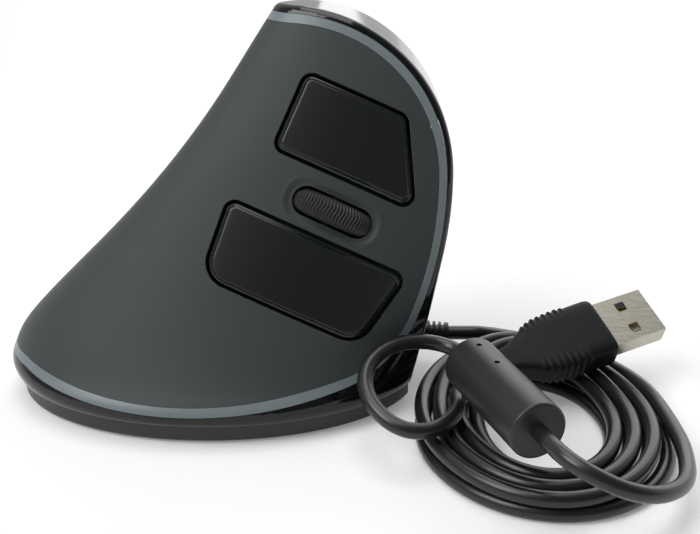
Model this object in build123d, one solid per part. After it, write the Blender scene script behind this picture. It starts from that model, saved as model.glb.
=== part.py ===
from build123d import *
import math
import os

# Vertical mouse with its coiled cord and plug, in millimetres.
# X runs from the palm end to the cable end, -Y is the finger side, Z is up.
# The origin is on the desk, under the middle of the body.

# Overall body
LENGTH = 102.0
WIDTH = 63.6
HEIGHT = 87.0
WALL = 2.2
INNER_CLEARANCE = 0.8
OVERRUN = 10.0

# Horizontal body sections: share of HEIGHT, shares of LENGTH for the palm and
# cable ends, shares of WIDTH for the finger and thumb sides
SECTION_SHARES = [
    (0.055, -0.480, 0.438, -0.475, 0.475),
    (0.076, -0.493, 0.452, -0.500, 0.500),
    (0.099, -0.498, 0.458, -0.492, 0.491),
    (0.126, -0.491, 0.469, -0.459, 0.450),
    (0.161, -0.477, 0.481, -0.421, 0.401),
    (0.230, -0.433, 0.510, -0.362, 0.322),
    (0.345, -0.336, 0.554, -0.283, 0.259),
    (0.483, -0.216, 0.593, -0.204, 0.236),
    (0.632, -0.101, 0.618, -0.129, 0.252),
    (0.782, -0.003, 0.627, -0.055, 0.283),
    (0.920, 0.0755, 0.632, 0.0126, 0.307),
    (1.057, 0.147, 0.632, 0.0786, 0.322),
]

# Side outline of the light ring, seen along Y
TOP_RADIUS = 32.0
FRONT_RADIUS = 74.0
LIP_RADIUS = 213.0
LIP_CORNER_RADIUS = 20.0
RING_CENTRE_X_SHARE = 0.164
RING_TOP = 84.7
LIP_LOW_X_SHARE = -0.083
LIP_HEIGHT = 8.45
RING_HALF_WIDTH = 0.9
SEAM_GAP = 0.1
RIM_BAND = 2.4
FACE_THICKNESS = 1.6
FACE_EDGE_RADIUS = 2.0
FRONT_LEAN = 12.6

# Base
FOOT_LIFT = 0.5
BASE_TOP = 5.1
BASE_FLOOR = 2.0
BASE_WALL = 2.0
BASE_INSET = 0.4
BASE_EDGE_RADIUS = 1.0
FRAME_SEAM = 0.1

# Finger plane, through the wheel's place on the finger side
WHEEL_SPOT_SHARES = (0.2415, -0.1767, 0.535)
FINGER_LEAN = 21.7
FINGER_SLOPE = 24.0

# Finger buttons
INDEX_LENGTH = 34.9
INDEX_WIDTH = 18.8
INDEX_BACK = 17.8
INDEX_RISE = 7.0
INDEX_CORNER_SHARES = [(0, 0), (1, 0), (0.70, 1), (0, 1)]
MIDDLE_LENGTH = 43.5
MIDDLE_WIDTH = 18.8
MIDDLE_BACK = 22.3
MIDDLE_DROP = 5.8
MIDDLE_CORNER_SHARES = [(0.035, -1), (0.91, -1), (1, 0), (0, 0)]
BUTTON_CORNER_RADIUS = 2.8
MIDDLE_LOW_CORNER_RADIUS = 6.0
CAP_GAP = 1.2
CAP_PROUD = 0.35
CAP_THICKNESS = 2.0
CAP_BEVEL = 0.5
HINGE_DEPTH = 7.4
HINGE_SETBACK = 4.2
HINGE_PIN_DIAMETER = 1.5
BARREL_DIAMETER = 3.6
PIN_CLEARANCE = 0.05
ARM_HEIGHT = 2.4
ARM_WIDTH = 8.0
WEB_THICKNESS = 2.6
WEB_SETBACK = 2.0
HINGE_EAR = 2.0
HINGE_SIDE_GAP = 0.4

# Microswitches under the finger buttons
SWITCH_LENGTH = 12.8
SWITCH_WIDTH = 5.8
SWITCH_HEIGHT = 6.5
SWITCH_REACH = 6.5
PLUNGER_LENGTH = 2.8
PLUNGER_WIDTH = 1.2
PLUNGER_RISE = 0.8
PLUNGER_DEPTH = 2.2
PLUNGER_CLEARANCE = 0.08
CONTACT_GAP = 0.05
POST_RADIUS = 1.5

# Circuit boards
BOARD_DEPTH = 11.4
BOARD_THICKNESS = 1.6
FINGER_BOARD_FRONT = 22.0
FINGER_BOARD_BACK = 29.0
FINGER_BOARD_TOP = 23.5
FINGER_BOARD_LOW = 22.0

# Wheel
WHEEL_RADIUS = 12.0
WHEEL_PROUD = 2.6
WHEEL_ROOM = 0.5
WHEEL_RELIEF_DEPTH = 1.3
TYRE_WIDTH = 5.4
TYRE_THICKNESS = 2.4
TYRE_EDGE = 2.2
TYRE_RIBS = 36
RIB_DEPTH = 0.45
RIB_WIDTH = 0.8
WHEEL_SLOT_LENGTH = 18.4
WHEEL_SLOT_WIDTH = 6.6
DISH_LENGTH = 22.0
DISH_WIDTH = 9.6
DISH_DEPTH = 0.5
HUB_RADIUS = 2.6
HUB_WEB = 1.6
HUB_SLOTS = 12
HUB_SLOT_WIDTH = 1.5
HUB_SLOT_INNER = 4.6
HUB_SLOT_OUTER = 8.0
AXLE_DIAMETER = 2.0
AXLE_LENGTH = 10.0
RUNNING_CLEARANCE = 0.05

# Wheel carriage, tipped by a press on the wheel
CARRIAGE_INSIDE = 3.6
CARRIAGE_ARM = 1.4
CARRIAGE_HEIGHT = 3.2
CARRIAGE_BACK = 18.0
CARRIAGE_PIVOT = 17.0
CARRIAGE_FRONT = 15.5
CARRIAGE_BAR = 2.3
CARRIAGE_NOSE = 20.0
CARRIAGE_NOSE_WIDTH = 3.0
CARRIAGE_LIFT = 0.25
PIVOT_PIN_DIAMETER = 1.5
PIVOT_EAR = 2.0
PIVOT_EAR_GAP = 0.3
WHEEL_WINDOW_BACK = 14.0
WHEEL_WINDOW_FRONT = 16.2
WHEEL_WINDOW_WIDTH = 11.6
TACT_SIZE = 5.0
TACT_HEIGHT = 1.5
TACT_PLUNGER_RADIUS = 1.0
WHEEL_PLUNGER_RISE = 0.8
SENSOR_SPAN = 6.0
SENSOR_BODY = 2.4
SENSOR_HEIGHT = 5.2
SENSOR_AHEAD = 6.5
WHEEL_SWITCH_TRIM = 0.64

# Inner frame behind the finger board
FRAME_DEPTH = 15.0
FRAME_THICKNESS = 1.8
# Outline in the finger plane, as shares of LENGTH
FRAME_PLATE_SHARES = [
    (-0.304, -0.505), (-0.304, -0.225), (-0.270, -0.049), (-0.2255, 0.083), (-0.157, 0.196),
    (-0.078, 0.260), (0.010, 0.284), (0.044, 0.270), (0.118, 0.093), (0.153, -0.078),
    (0.192, -0.270), (0.194, -0.3235),
]
FRAME_FOOT_LENGTH = 40.0
FRAME_FOOT_DEPTH = 8.0
FRAME_FOOT_HEIGHT = 2.2
FRAME_FOOT_Y = -14.2
FRAME_POST_RADIUS = 3.6
BOSS_RADIUS = 2.6
BOARD_BOSS_SPOTS = [(-8.0, 17.5), (-15.0, -15.0), (10.5, 9.7), (10.5, -9.9)]
BOARD_SCREW_DIAMETER = 2.0
BOARD_SCREW_LENGTH = 4.2
BOARD_SCREW_HEAD = 3.2
BOARD_SCREW_HEAD_HEIGHT = 0.9
SCREW_CLEARANCE = 0.05

# Thumb side
THUMB_BUTTON_HEIGHT = 49.5
BACK_BUTTON_X = 12.0
FORWARD_BUTTON_X = 28.8
SPEED_BUTTON_X = 41.4
SIDE_BUTTON_LENGTH = 15.0
SIDE_BUTTON_WIDTH = 6.4
SIDE_BUTTON_CORNER = 2.2
SPEED_BUTTON_LENGTH = 6.0
SIDE_CAP_GAP = 0.35
SIDE_CAP_PROUD = 0.6
SIDE_CAP_THICKNESS = 2.0
SIDE_BOARD_FACE_Y = 10.5
SIDE_BOARD_THICKNESS = 1.2
SIDE_BOARD_LOW = 44.3
SIDE_BOARD_HIGH = 52.0
SIDE_BOARD_BACK = 5.4
SIDE_BOARD_FRONT = 43.4
SIDE_TACT_SIZE = 3.5
SIDE_TACT_HEIGHT = 2.0
SIDE_PLUNGER_RISE = 0.5
SIDE_BOSS_SPOTS = [(8.6, 46.0), (35.0, 46.0)]
LUG_REACH = 0.7
LUG_THICKNESS = 0.9
LUG_CLEARANCE = 0.3
SIDE_TRAVEL_ROOM = 1.0

# Base board and its parts
MAIN_BOARD_FLOOR_GAP = 2.9
MAIN_BOARD_BACK = 31.0
MAIN_BOARD_FRONT = 29.0
MAIN_BOARD_NEAR = -6.5
MAIN_BOARD_FAR = 20.5
MAIN_BOARD_CORNER = 4.0
STANDOFF_RADIUS = 2.5
STANDOFF_SPOTS = [(-26.0, -3.0), (-26.0, 16.5), (24.0, -3.0), (12.0, 17.2)]
SENSOR_X = 0.0
SENSOR_Y = 5.0
SENSOR_CHIP_LENGTH = 12.0
SENSOR_CHIP_WIDTH = 9.0
SENSOR_CHIP_HEIGHT = 2.5
SENSOR_HOLE_RADIUS = 3.0
LENS_LENGTH = 18.0
LENS_WIDTH = 12.0
LENS_THICKNESS = 2.4
LENS_WINDOW_RADIUS = 4.0
LENS_CLEARANCE = 0.15
CONTROLLER_LENGTH = 10.0
CONTROLLER_WIDTH = 7.5
CONTROLLER_HEIGHT = 1.8
CONTROLLER_X = -16.0
CONTROLLER_Y = 6.0
LED_SIZE = 3.0
LED_HEIGHT = 1.9
LED_SPOTS = [(-29.0, 8.0), (-8.0, -4.8), (-8.0, 18.8), (27.0, 17.5)]
SOCKET_LENGTH = 6.0
SOCKET_WIDTH = 10.0
SOCKET_HEIGHT = 5.0
SOCKET_X = 24.5
INNER_CABLE_DIAMETER = 2.6

# Screws and posts between the base and the upper parts
POST_OUTER_RADIUS = 3.2
PAD_RADIUS = 4.0
PAD_TOP = 4.4
SHELL_POST_SPOTS = [(-37.0, 0.0), (-6.0, -23.4), (-6.0, 24.2)]
FACE_POST_SPOT = (36.6, -6.5)
FACE_POST_TOP = 15.0
FRAME_POST_SPOTS = [(-16.0, -15.0), (20.0, -15.0)]
FRAME_POST_HEIGHT = 6.0
BASE_SCREW_DIAMETER = 2.5
BASE_SCREW_LENGTH = 7.5
BASE_SCREW_HEAD = 4.6
BASE_SCREW_HEAD_HEIGHT = 1.5
SCREW_RECESS = 0.4

# Glide feet
FOOT_THICKNESS = 0.8
FOOT_RECESS = 0.3
FOOT_CLEARANCE = 0.1
FOOT_LENGTH = 22.0
FOOT_WIDTH = 5.0
FOOT_SPOTS = [(-41.0, 0.0, 90.0), (34.0, 0.0, 90.0), (-6.0, -14.5, 0.0), (-6.0, 16.5, 0.0)]

# Cord, strain relief, choke and plug
CORD_DIAMETER = 3.4
CORD_EXIT_Y = 7.5
CORD_EXIT_Z = 8.4
RELIEF_LENGTH = 9.0
RELIEF_ROOT_RADIUS = 3.2
RELIEF_TIP_RADIUS = 2.5
RELIEF_FLANGE_RADIUS = 4.4
RELIEF_FLANGE = 1.4
RELIEF_NECK_RADIUS = 2.9
RELIEF_GROOVES = 4
RELIEF_GROOVE_WIDTH = 0.8
RELIEF_GROOVE_DEPTH = 0.5
RELIEF_TIP_X = 52.4
CHOKE_LENGTH = 30.0
CHOKE_RADIUS = 6.0
CHOKE_EDGE = 0.8
CHOKE_CORE_RADIUS = 4.6
CHOKE_CORE_LENGTH = 25.0
CHOKE_PIN_HOLE = 0.6
CHOKE_PIN_DEPTH = 0.8
CHOKE_PIN_SHARES = [0.13, 0.40]
PLUG_SPOT = (86.2, -6.2, 15.6)
PLUG_YAW = 21.4
PLUG_PITCH = 8.6
PLUG_ROLL = 27.0
GRIP_LENGTH = 26.0
GRIP_WIDTH = 15.4
GRIP_HEIGHT = 7.8
GRIP_CORNER = 1.6
# Sections of the grip: shares of its length, width and height
GRIP_ROW_SHARES = [(0, 1.0, 1.0), (-0.55, 0.98, 0.97), (-0.80, 0.62, 0.80), (-1.0, 0.38, 0.66)]
# How far out each rib stands, from the USB end
GRIP_RIB_REACH_SHARES = [1, 1, 1, 1, 1, 0.985, 0.955, 0.925]
GRIP_RIB_START_SHARE = 0.2
GRIP_RIB_HEIGHT_SHARE = 0.62
GRIP_RIB_WIDTH = 0.9
GRIP_RIB_RISE = 0.5
GRIP_RIB_PITCH = 1.8
USB_WIDTH = 12.0
USB_HEIGHT = 4.5
USB_LENGTH = 13.2
USB_BURIED = 5.0
USB_SHEET = 0.35
USB_WINDOW = 2.4
USB_WINDOW_SPACING = 6.2
USB_WINDOW_AT = 6.6
TONGUE_WIDTH = 11.0
TONGUE_HEIGHT = 1.9
CONTACT_WIDTH = 1.0
CONTACT_LENGTH = 6.5
CONTACT_HEIGHT = 0.15
CONTACT_PITCH = 2.3

# Coil of the cord
COIL_X = 69.5
COIL_Y = -27.0
COIL_HALF_WIDTH = 27.5
COIL_BACK = 33.0
COIL_FRONT = 31.5
COIL_PITCH = 4.0
COIL_TURNS_PER_LAYER = 3.5
COIL_LAYERS = 2
COIL_LIFT = 0.05
# Shares of a turn: half the climb to the next layer, and the step that finds the slope
COIL_RISE_SHARE = 0.25
COIL_STEP_SHARE = 0.01
COIL_SAMPLES = 700
# Share of its shorter run that each corner's arc takes
RUN_ARC_SHARE = 0.45

# Routes of the free cord, from the mouse to the plug, chosen by hand
LEAD_POINTS = [
    (52.4, 7.5, 8.4), (61.0, 7.5, 8.4), (72.5, 13.5, 3.6), (88.0, 9.0, 1.75),
    (97.0, -7.0, 1.75), (97.0, -23.6, 1.75),
]
TAIL_POINTS = [
    (97.0, -30.4, 5.75), (97.0, -42.0, 5.75), (93.0, -57.0, 7.5), (80.9, -68.2, 12.7),
    (68.364, -65.365, 18.0), (64.26, -54.09, 18.0),
]
LINK_POINTS = [
    (54.0, -25.9, 18.0), (51.75, -19.717, 18.0), (45.6, -17.8, 19.0), (38.0, -20.8, 20.0),
    (32.0, -26.4, 18.0), (31.4, -33.2, 14.5), (35.8, -39.5, 11.5), (41.5, -41.5, 10.0),
    (47.6, -38.5, 9.6), (51.3, -32.3, 9.6), (51.3, -25.0, 9.6), (55.175, -18.358, 10.562),
    (62.264, -15.58, 11.713),
]


# Frames and small helpers

def finger_plane():
    lean = math.radians(FINGER_LEAN)
    slope = math.radians(FINGER_SLOPE)
    along = Vector(0, math.sin(lean), math.cos(lean))
    forward = Vector(1, 0, 0) * math.cos(slope) - along * math.sin(slope)
    normal = Vector(0, -math.cos(lean), math.sin(lean))
    x_share, y_share, z_share = WHEEL_SPOT_SHARES
    spot = Vector(x_share * LENGTH, y_share * WIDTH, z_share * HEIGHT)
    return Plane(origin=spot, x_dir=forward, z_dir=normal)


FINGER = finger_plane()
SIDE = Plane(origin=(0, 0, 0), x_dir=(1, 0, 0), z_dir=(0, -1, 0))
THUMB = Plane(origin=(0, 0, 0), x_dir=(-1, 0, 0), z_dir=(0, 1, 0))


def slab(plane, face, low, high):
    """A flat outline on a plane, thickened from one height to another."""
    return plane * (Pos(0, 0, low) * extrude(face, amount=high - low))


def box_between(plane, x0, x1, y0, y1, z0, z1):
    face = Pos((x0 + x1) / 2, (y0 + y1) / 2) * Rectangle(x1 - x0, y1 - y0)
    return slab(plane, face, z0, z1)


def rod_across(plane, x, z, y0, y1, radius):
    """A round rod along the plane's own Y direction."""
    rod = Pos(x, (y0 + y1) / 2, z) * Rot(90, 0, 0) * Cylinder(radius, abs(y1 - y0))
    return plane * rod


def polygon(points):
    return make_face(Polyline(*points, close=True))


def point_on(x, z, radius, angle):
    return (x + radius * math.cos(angle), z + radius * math.sin(angle))


def arc_between(x, z, radius, first, last):
    middle = (first + last) / 2
    return ThreePointArc(
        point_on(x, z, radius, first),
        point_on(x, z, radius, middle),
        point_on(x, z, radius, last),
    )


# Body surface

def body_section(row, inset):
    height, back, front, finger, thumb = row
    x0 = back * LENGTH + inset
    x1 = front * LENGTH - inset
    y0 = finger * WIDTH + inset
    y1 = thumb * WIDTH - inset
    place = Pos((x0 + x1) / 2, (y0 + y1) / 2, height * HEIGHT)
    return place * Ellipse((x1 - x0) / 2, (y1 - y0) / 2)


def body(inset):
    return loft([body_section(row, inset) for row in SECTION_SHARES])


TOP_X = RING_CENTRE_X_SHARE * LENGTH
TOP_Z = RING_TOP - TOP_RADIUS
FRONT_X = TOP_X + TOP_RADIUS - FRONT_RADIUS
LIP_X = LIP_LOW_X_SHARE * LENGTH
LIP_Z = LIP_HEIGHT + LIP_RADIUS


def ring_corner():
    """Centre of the arc that joins the front arc to the lip arc."""
    first = FRONT_RADIUS - LIP_CORNER_RADIUS
    second = LIP_RADIUS - LIP_CORNER_RADIUS
    dx = LIP_X - FRONT_X
    dz = LIP_Z - TOP_Z
    gap = math.hypot(dx, dz)
    along = (first ** 2 - second ** 2 + gap ** 2) / (2 * gap)
    across = math.sqrt(first ** 2 - along ** 2)
    x = FRONT_X + (along * dx + across * dz) / gap
    z = TOP_Z + (along * dz - across * dx) / gap
    return x, z


def ring_outline(grow):
    """The ring's centre line seen from the side, moved outward by grow."""
    corner_x, corner_z = ring_corner()
    first = math.atan2(corner_z - TOP_Z, corner_x - FRONT_X)
    second = math.atan2(corner_z - LIP_Z, corner_x - LIP_X)
    top = RING_TOP + grow
    far = -LENGTH
    lip_end = point_on(LIP_X, LIP_Z, LIP_RADIUS + grow, -math.pi - second)
    edges = [
        Line((far, top), (TOP_X, top)),
        arc_between(TOP_X, TOP_Z, TOP_RADIUS + grow, math.pi / 2, 0),
        arc_between(FRONT_X, TOP_Z, FRONT_RADIUS + grow, 0, first),
        arc_between(corner_x, corner_z, LIP_CORNER_RADIUS + grow, first, second),
        arc_between(LIP_X, LIP_Z, LIP_RADIUS + grow, second, -math.pi - second),
        Line(lip_end, (far, lip_end[1])),
        Line((far, lip_end[1]), (far, top)),
    ]
    return make_face(Curve() + edges)


def outer_outline(grow, bottom):
    """Top and front of the gloss face, then straight down to the base."""
    lean = math.radians(FRONT_LEAN)
    top = RING_TOP + grow
    far = -LENGTH
    turn = point_on(FRONT_X, TOP_Z, FRONT_RADIUS + grow, -lean)
    foot = (turn[0] - math.tan(lean) * (turn[1] - bottom), bottom)
    edges = [
        Line((far, top), (TOP_X, top)),
        arc_between(TOP_X, TOP_Z, TOP_RADIUS + grow, math.pi / 2, 0),
        arc_between(FRONT_X, TOP_Z, FRONT_RADIUS + grow, 0, -lean),
        Line(turn, foot),
        Line(foot, (far, bottom)),
        Line((far, bottom), (far, top)),
    ]
    return make_face(Curve() + edges)


def across_body(face):
    return extrude(SIDE * face, amount=WIDTH, both=True)


def face_x(height, grow):
    """How far forward the gloss face reaches at a height near the base."""
    lean = math.radians(FRONT_LEAN)
    turn = point_on(FRONT_X, TOP_Z, FRONT_RADIUS + grow, -lean)
    return turn[0] - math.tan(lean) * (turn[1] - height)


SHELL_BOTTOM = BASE_TOP + FRAME_SEAM
INNER = body(WALL)
ROOM = body(WALL + INNER_CLEARANCE) & across_body(
    outer_outline(RIM_BAND - FACE_THICKNESS - INNER_CLEARANCE, FOOT_LIFT + BASE_FLOOR)
)


# Openings in the finger side

def rounded(points, radii):
    line = FilletPolyline(*points, radius=radii, close=True)
    return make_face(line)


def index_outline():
    points = []
    for u_share, v_share in INDEX_CORNER_SHARES:
        u = u_share * INDEX_LENGTH - INDEX_BACK
        v = v_share * INDEX_WIDTH + INDEX_RISE
        points.append((u, v))
    return rounded(points, BUTTON_CORNER_RADIUS)


def middle_outline():
    points = []
    for u_share, v_share in MIDDLE_CORNER_SHARES:
        u = u_share * MIDDLE_LENGTH - MIDDLE_BACK
        v = v_share * MIDDLE_WIDTH - MIDDLE_DROP
        points.append((u, v))
    face = polygon(points)
    low = face.vertices().sort_by(Axis.Y)[:2]
    face = fillet(low, MIDDLE_LOW_CORNER_RADIUS)
    high = face.vertices().sort_by(Axis.Y)[-2:]
    return fillet(high, BUTTON_CORNER_RADIUS)


def through_finger_side(face):
    return slab(FINGER, face, -OVERRUN, OVERRUN)


def wheel_slot():
    return SlotOverall(WHEEL_SLOT_LENGTH, WHEEL_SLOT_WIDTH)


def wheel_dish():
    return SlotOverall(DISH_LENGTH, DISH_WIDTH)


# Thumb side openings

SIDE_BUTTONS = [
    ("back_button", BACK_BUTTON_X, SIDE_BUTTON_LENGTH),
    ("forward_button", FORWARD_BUTTON_X, SIDE_BUTTON_LENGTH),
    ("speed_button", SPEED_BUTTON_X, SPEED_BUTTON_LENGTH),
]


def side_button_outline(x, length, shrink):
    corner = SIDE_BUTTON_CORNER - shrink
    shape = RectangleRounded(length - 2 * shrink, SIDE_BUTTON_WIDTH - 2 * shrink, corner)
    return Pos(-x, THUMB_BUTTON_HEIGHT) * shape


def through_thumb_side(face):
    return slab(THUMB, face, 0, WIDTH)


# Posts and screws that tie the upper parts to the base

def upright(spot, radius, low, high):
    x, y = spot
    return Pos(x, y, (low + high) / 2) * Cylinder(radius, high - low)


def screw_hole(spot):
    pilot = BASE_SCREW_DIAMETER / 2 + SCREW_CLEARANCE
    top = FOOT_LIFT + SCREW_RECESS + BASE_SCREW_HEAD_HEIGHT + BASE_SCREW_LENGTH
    return upright(spot, pilot, 0, top + SCREW_CLEARANCE)


def base_screw(spot):
    head_low = FOOT_LIFT + SCREW_RECESS
    head_high = head_low + BASE_SCREW_HEAD_HEIGHT
    head = upright(spot, BASE_SCREW_HEAD / 2, head_low, head_high)
    shank = upright(spot, BASE_SCREW_DIAMETER / 2, head_high, head_high + BASE_SCREW_LENGTH)
    recess = Pos(spot[0], spot[1], head_low) * RegularPolygon(BASE_SCREW_DIAMETER / 3, 6)
    return head + shank - extrude(recess, amount=BASE_SCREW_HEAD_HEIGHT / 2)


def grip_shell():
    shell = body(0) & across_body(ring_outline(-RING_HALF_WIDTH - SEAM_GAP))
    shell = shell - INNER
    for spot in SHELL_POST_SPOTS:
        post = upright(spot, POST_OUTER_RADIUS, SHELL_BOTTOM, HEIGHT)
        post = post & body(WALL - INNER_CLEARANCE)
        shell = shell + post + upright(spot, POST_OUTER_RADIUS, PAD_TOP, SHELL_BOTTOM + WALL)
    for spot in SHELL_POST_SPOTS:
        shell = shell - screw_hole(spot)
    shell = shell - through_finger_side(index_outline())
    shell = shell - through_finger_side(middle_outline())
    shell = shell - through_finger_side(wheel_slot())
    shell = shell - (through_finger_side(wheel_dish()) - body(DISH_DEPTH))
    relief = slab(FINGER, Rectangle(LENGTH, LENGTH), -OVERRUN, -WHEEL_RELIEF_DEPTH)
    shell = shell - (wheel_place(Cylinder(WHEEL_RADIUS + WHEEL_ROOM, WHEEL_SLOT_WIDTH)) & relief)
    for name, x, length in SIDE_BUTTONS:
        shell = shell - through_thumb_side(side_button_outline(x, length, 0))
    return shell


def light_ring():
    band = across_body(ring_outline(RING_HALF_WIDTH)) - across_body(ring_outline(-RING_HALF_WIDTH))
    return (body(0) & band) - INNER


def gloss_frame():
    outer = body(0) & across_body(outer_outline(RIM_BAND, SHELL_BOTTOM))
    sharp = []
    for edge in outer.edges():
        bounds = edge.bounding_box()
        if edge.geom_type != GeomType.LINE and bounds.max.Z > SHELL_BOTTOM + FACE_EDGE_RADIUS:
            sharp.append(edge)
    outer = fillet(sharp, FACE_EDGE_RADIUS)
    cavity = INNER & across_body(outer_outline(RIM_BAND - FACE_THICKNESS, 0))
    frame = outer - across_body(ring_outline(RING_HALF_WIDTH + SEAM_GAP)) - cavity
    x, y = FACE_POST_SPOT
    post = upright(FACE_POST_SPOT, POST_OUTER_RADIUS, PAD_TOP, FACE_POST_TOP)
    reach = face_x(SHELL_BOTTOM, RIM_BAND - FACE_THICKNESS)
    web = Pos((x + reach) / 2, y, (SHELL_BOTTOM + FACE_POST_TOP) / 2)
    web = web * Box(reach - x + FACE_THICKNESS, POST_OUTER_RADIUS, FACE_POST_TOP - SHELL_BOTTOM)
    frame = frame + post + web - screw_hole(FACE_POST_SPOT)
    throat = RELIEF_NECK_RADIUS + RUNNING_CLEARANCE
    hole = Pos(RELIEF_TIP_X - RELIEF_LENGTH, CORD_EXIT_Y, CORD_EXIT_Z)
    return frame - hole * Rot(0, 90, 0) * Cylinder(throat, 2 * RELIEF_LENGTH)


# Base

def base_outline(inset):
    row = SECTION_SHARES[0]
    flat = (0,) + row[1:]
    ellipse = body_section(flat, BASE_INSET + inset)
    limit = face_x(BASE_TOP, RIM_BAND) - BASE_INSET - inset
    keep = Pos(limit - LENGTH, 0) * Rectangle(2 * LENGTH, 2 * WIDTH)
    return ellipse & keep


def foot_outline(spot, grow):
    x, y, turn = spot
    return Pos(x, y) * Rot(0, 0, turn) * SlotOverall(FOOT_LENGTH + 2 * grow, FOOT_WIDTH + 2 * grow)


ALL_SCREW_SPOTS = SHELL_POST_SPOTS + [FACE_POST_SPOT] + FRAME_POST_SPOTS
FLOOR = FOOT_LIFT + BASE_FLOOR
MAIN_BOARD_LOW = FLOOR + MAIN_BOARD_FLOOR_GAP
MAIN_BOARD_TOP = MAIN_BOARD_LOW + BOARD_THICKNESS


def base_case():
    base = Pos(0, 0, FOOT_LIFT) * extrude(base_outline(0), amount=BASE_TOP - FOOT_LIFT)
    low_edges = base.edges().group_by(Axis.Z)[0]
    base = fillet(low_edges, BASE_EDGE_RADIUS)
    base = base - Pos(0, 0, FLOOR) * extrude(base_outline(BASE_WALL), amount=OVERRUN)
    for spot in ALL_SCREW_SPOTS:
        base = base + upright(spot, PAD_RADIUS, FOOT_LIFT + BASE_EDGE_RADIUS, PAD_TOP)
    for spot in STANDOFF_SPOTS:
        base = base + upright(spot, STANDOFF_RADIUS, FLOOR - OVERRUN / 10, MAIN_BOARD_LOW)
    for spot in ALL_SCREW_SPOTS:
        head = BASE_SCREW_HEAD / 2 + SCREW_CLEARANCE
        seat = FOOT_LIFT + SCREW_RECESS + BASE_SCREW_HEAD_HEIGHT
        base = base - upright(spot, head, 0, seat) - screw_hole(spot)
    for spot in STANDOFF_SPOTS:
        base = base - board_screw_hole(Plane.XY, spot, MAIN_BOARD_TOP)
    for spot in FOOT_SPOTS:
        base = base - extrude(foot_outline(spot, FOOT_CLEARANCE), amount=FOOT_LIFT + FOOT_RECESS)
    sensor = (SENSOR_X, SENSOR_Y)
    window = LENS_WINDOW_RADIUS + LENS_CLEARANCE
    return base - upright(sensor, window, 0, FLOOR + OVERRUN)


def glide_feet():
    return [extrude(foot_outline(spot, 0), amount=FOOT_THICKNESS) for spot in FOOT_SPOTS]


# Board screws

def board_screw(plane, spot, seat):
    x, y = spot
    head = Pos(x, y, seat + BOARD_SCREW_HEAD_HEIGHT / 2)
    head = head * Cylinder(BOARD_SCREW_HEAD / 2, BOARD_SCREW_HEAD_HEIGHT)
    shank = Pos(x, y, seat - BOARD_SCREW_LENGTH / 2)
    shank = shank * Cylinder(BOARD_SCREW_DIAMETER / 2, BOARD_SCREW_LENGTH)
    recess = RegularPolygon(BOARD_SCREW_DIAMETER / 3, 6)
    recess = Pos(x, y, seat + BOARD_SCREW_HEAD_HEIGHT / 2) * recess
    return plane * (head + shank - extrude(recess, amount=BOARD_SCREW_HEAD_HEIGHT))


def board_screw_hole(plane, spot, seat):
    x, y = spot
    depth = BOARD_SCREW_LENGTH + SCREW_CLEARANCE
    hole = Pos(x, y, seat - depth / 2) * Cylinder(BOARD_SCREW_DIAMETER / 2 + SCREW_CLEARANCE, depth)
    return plane * hole


# Finger buttons

class FingerButton:
    """Places of one finger button's hinge and switch in the finger plane."""

    def __init__(self, outline, rear, middle):
        self.outline = outline
        self.rear = rear
        self.hinge = rear - HINGE_SETBACK
        self.switch = (SWITCH_REACH, middle)
        self.arm_v = middle


INDEX = FingerButton(index_outline(), -INDEX_BACK, INDEX_RISE + INDEX_WIDTH / 2)
MIDDLE = FingerButton(middle_outline(), -MIDDLE_BACK, -MIDDLE_DROP - MIDDLE_WIDTH / 2)
PLUNGER_TOP = -BOARD_DEPTH + SWITCH_HEIGHT + PLUNGER_RISE


def button_cap(button):
    face = offset(button.outline, -CAP_GAP)
    cap = body(-CAP_PROUD) & through_finger_side(face)
    rim = cap.faces().filter_by(GeomType.BSPLINE).sort_by(SortBy.AREA)[-1].edges()
    return chamfer(rim, CAP_BEVEL) - body(CAP_THICKNESS)


def finger_button(button):
    cap = button_cap(button)
    low = button.arm_v - ARM_WIDTH / 2
    high = button.arm_v + ARM_WIDTH / 2
    web_back = button.rear + CAP_GAP + WEB_SETBACK
    web_front = web_back + WEB_THICKNESS
    arm_low = -HINGE_DEPTH - ARM_HEIGHT / 2
    arm_high = -HINGE_DEPTH + ARM_HEIGHT / 2
    under = body(CAP_THICKNESS / 2)
    arm = box_between(FINGER, button.hinge, web_front, low, high, arm_low, arm_high)
    web = box_between(FINGER, web_back, web_front, low, high, arm_high, OVERRUN / 2) & under
    barrel = rod_across(FINGER, button.hinge, -HINGE_DEPTH, low, high, BARREL_DIAMETER / 2)
    u, v = button.switch
    post = Pos(u, v) * Circle(POST_RADIUS)
    post = slab(FINGER, post, PLUNGER_TOP + CONTACT_GAP, OVERRUN / 2) & under
    bore = HINGE_PIN_DIAMETER / 2 + PIN_CLEARANCE
    pin_space = rod_across(FINGER, button.hinge, -HINGE_DEPTH, low, high, bore)
    return cap + arm + web + barrel + post - pin_space


def hinge_ends(button):
    low = button.arm_v - ARM_WIDTH / 2 - HINGE_SIDE_GAP - HINGE_EAR
    high = button.arm_v + ARM_WIDTH / 2 + HINGE_SIDE_GAP + HINGE_EAR
    return low, high


def hinge_pin(button):
    low, high = hinge_ends(button)
    return rod_across(FINGER, button.hinge, -HINGE_DEPTH, low, high, HINGE_PIN_DIAMETER / 2)


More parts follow.
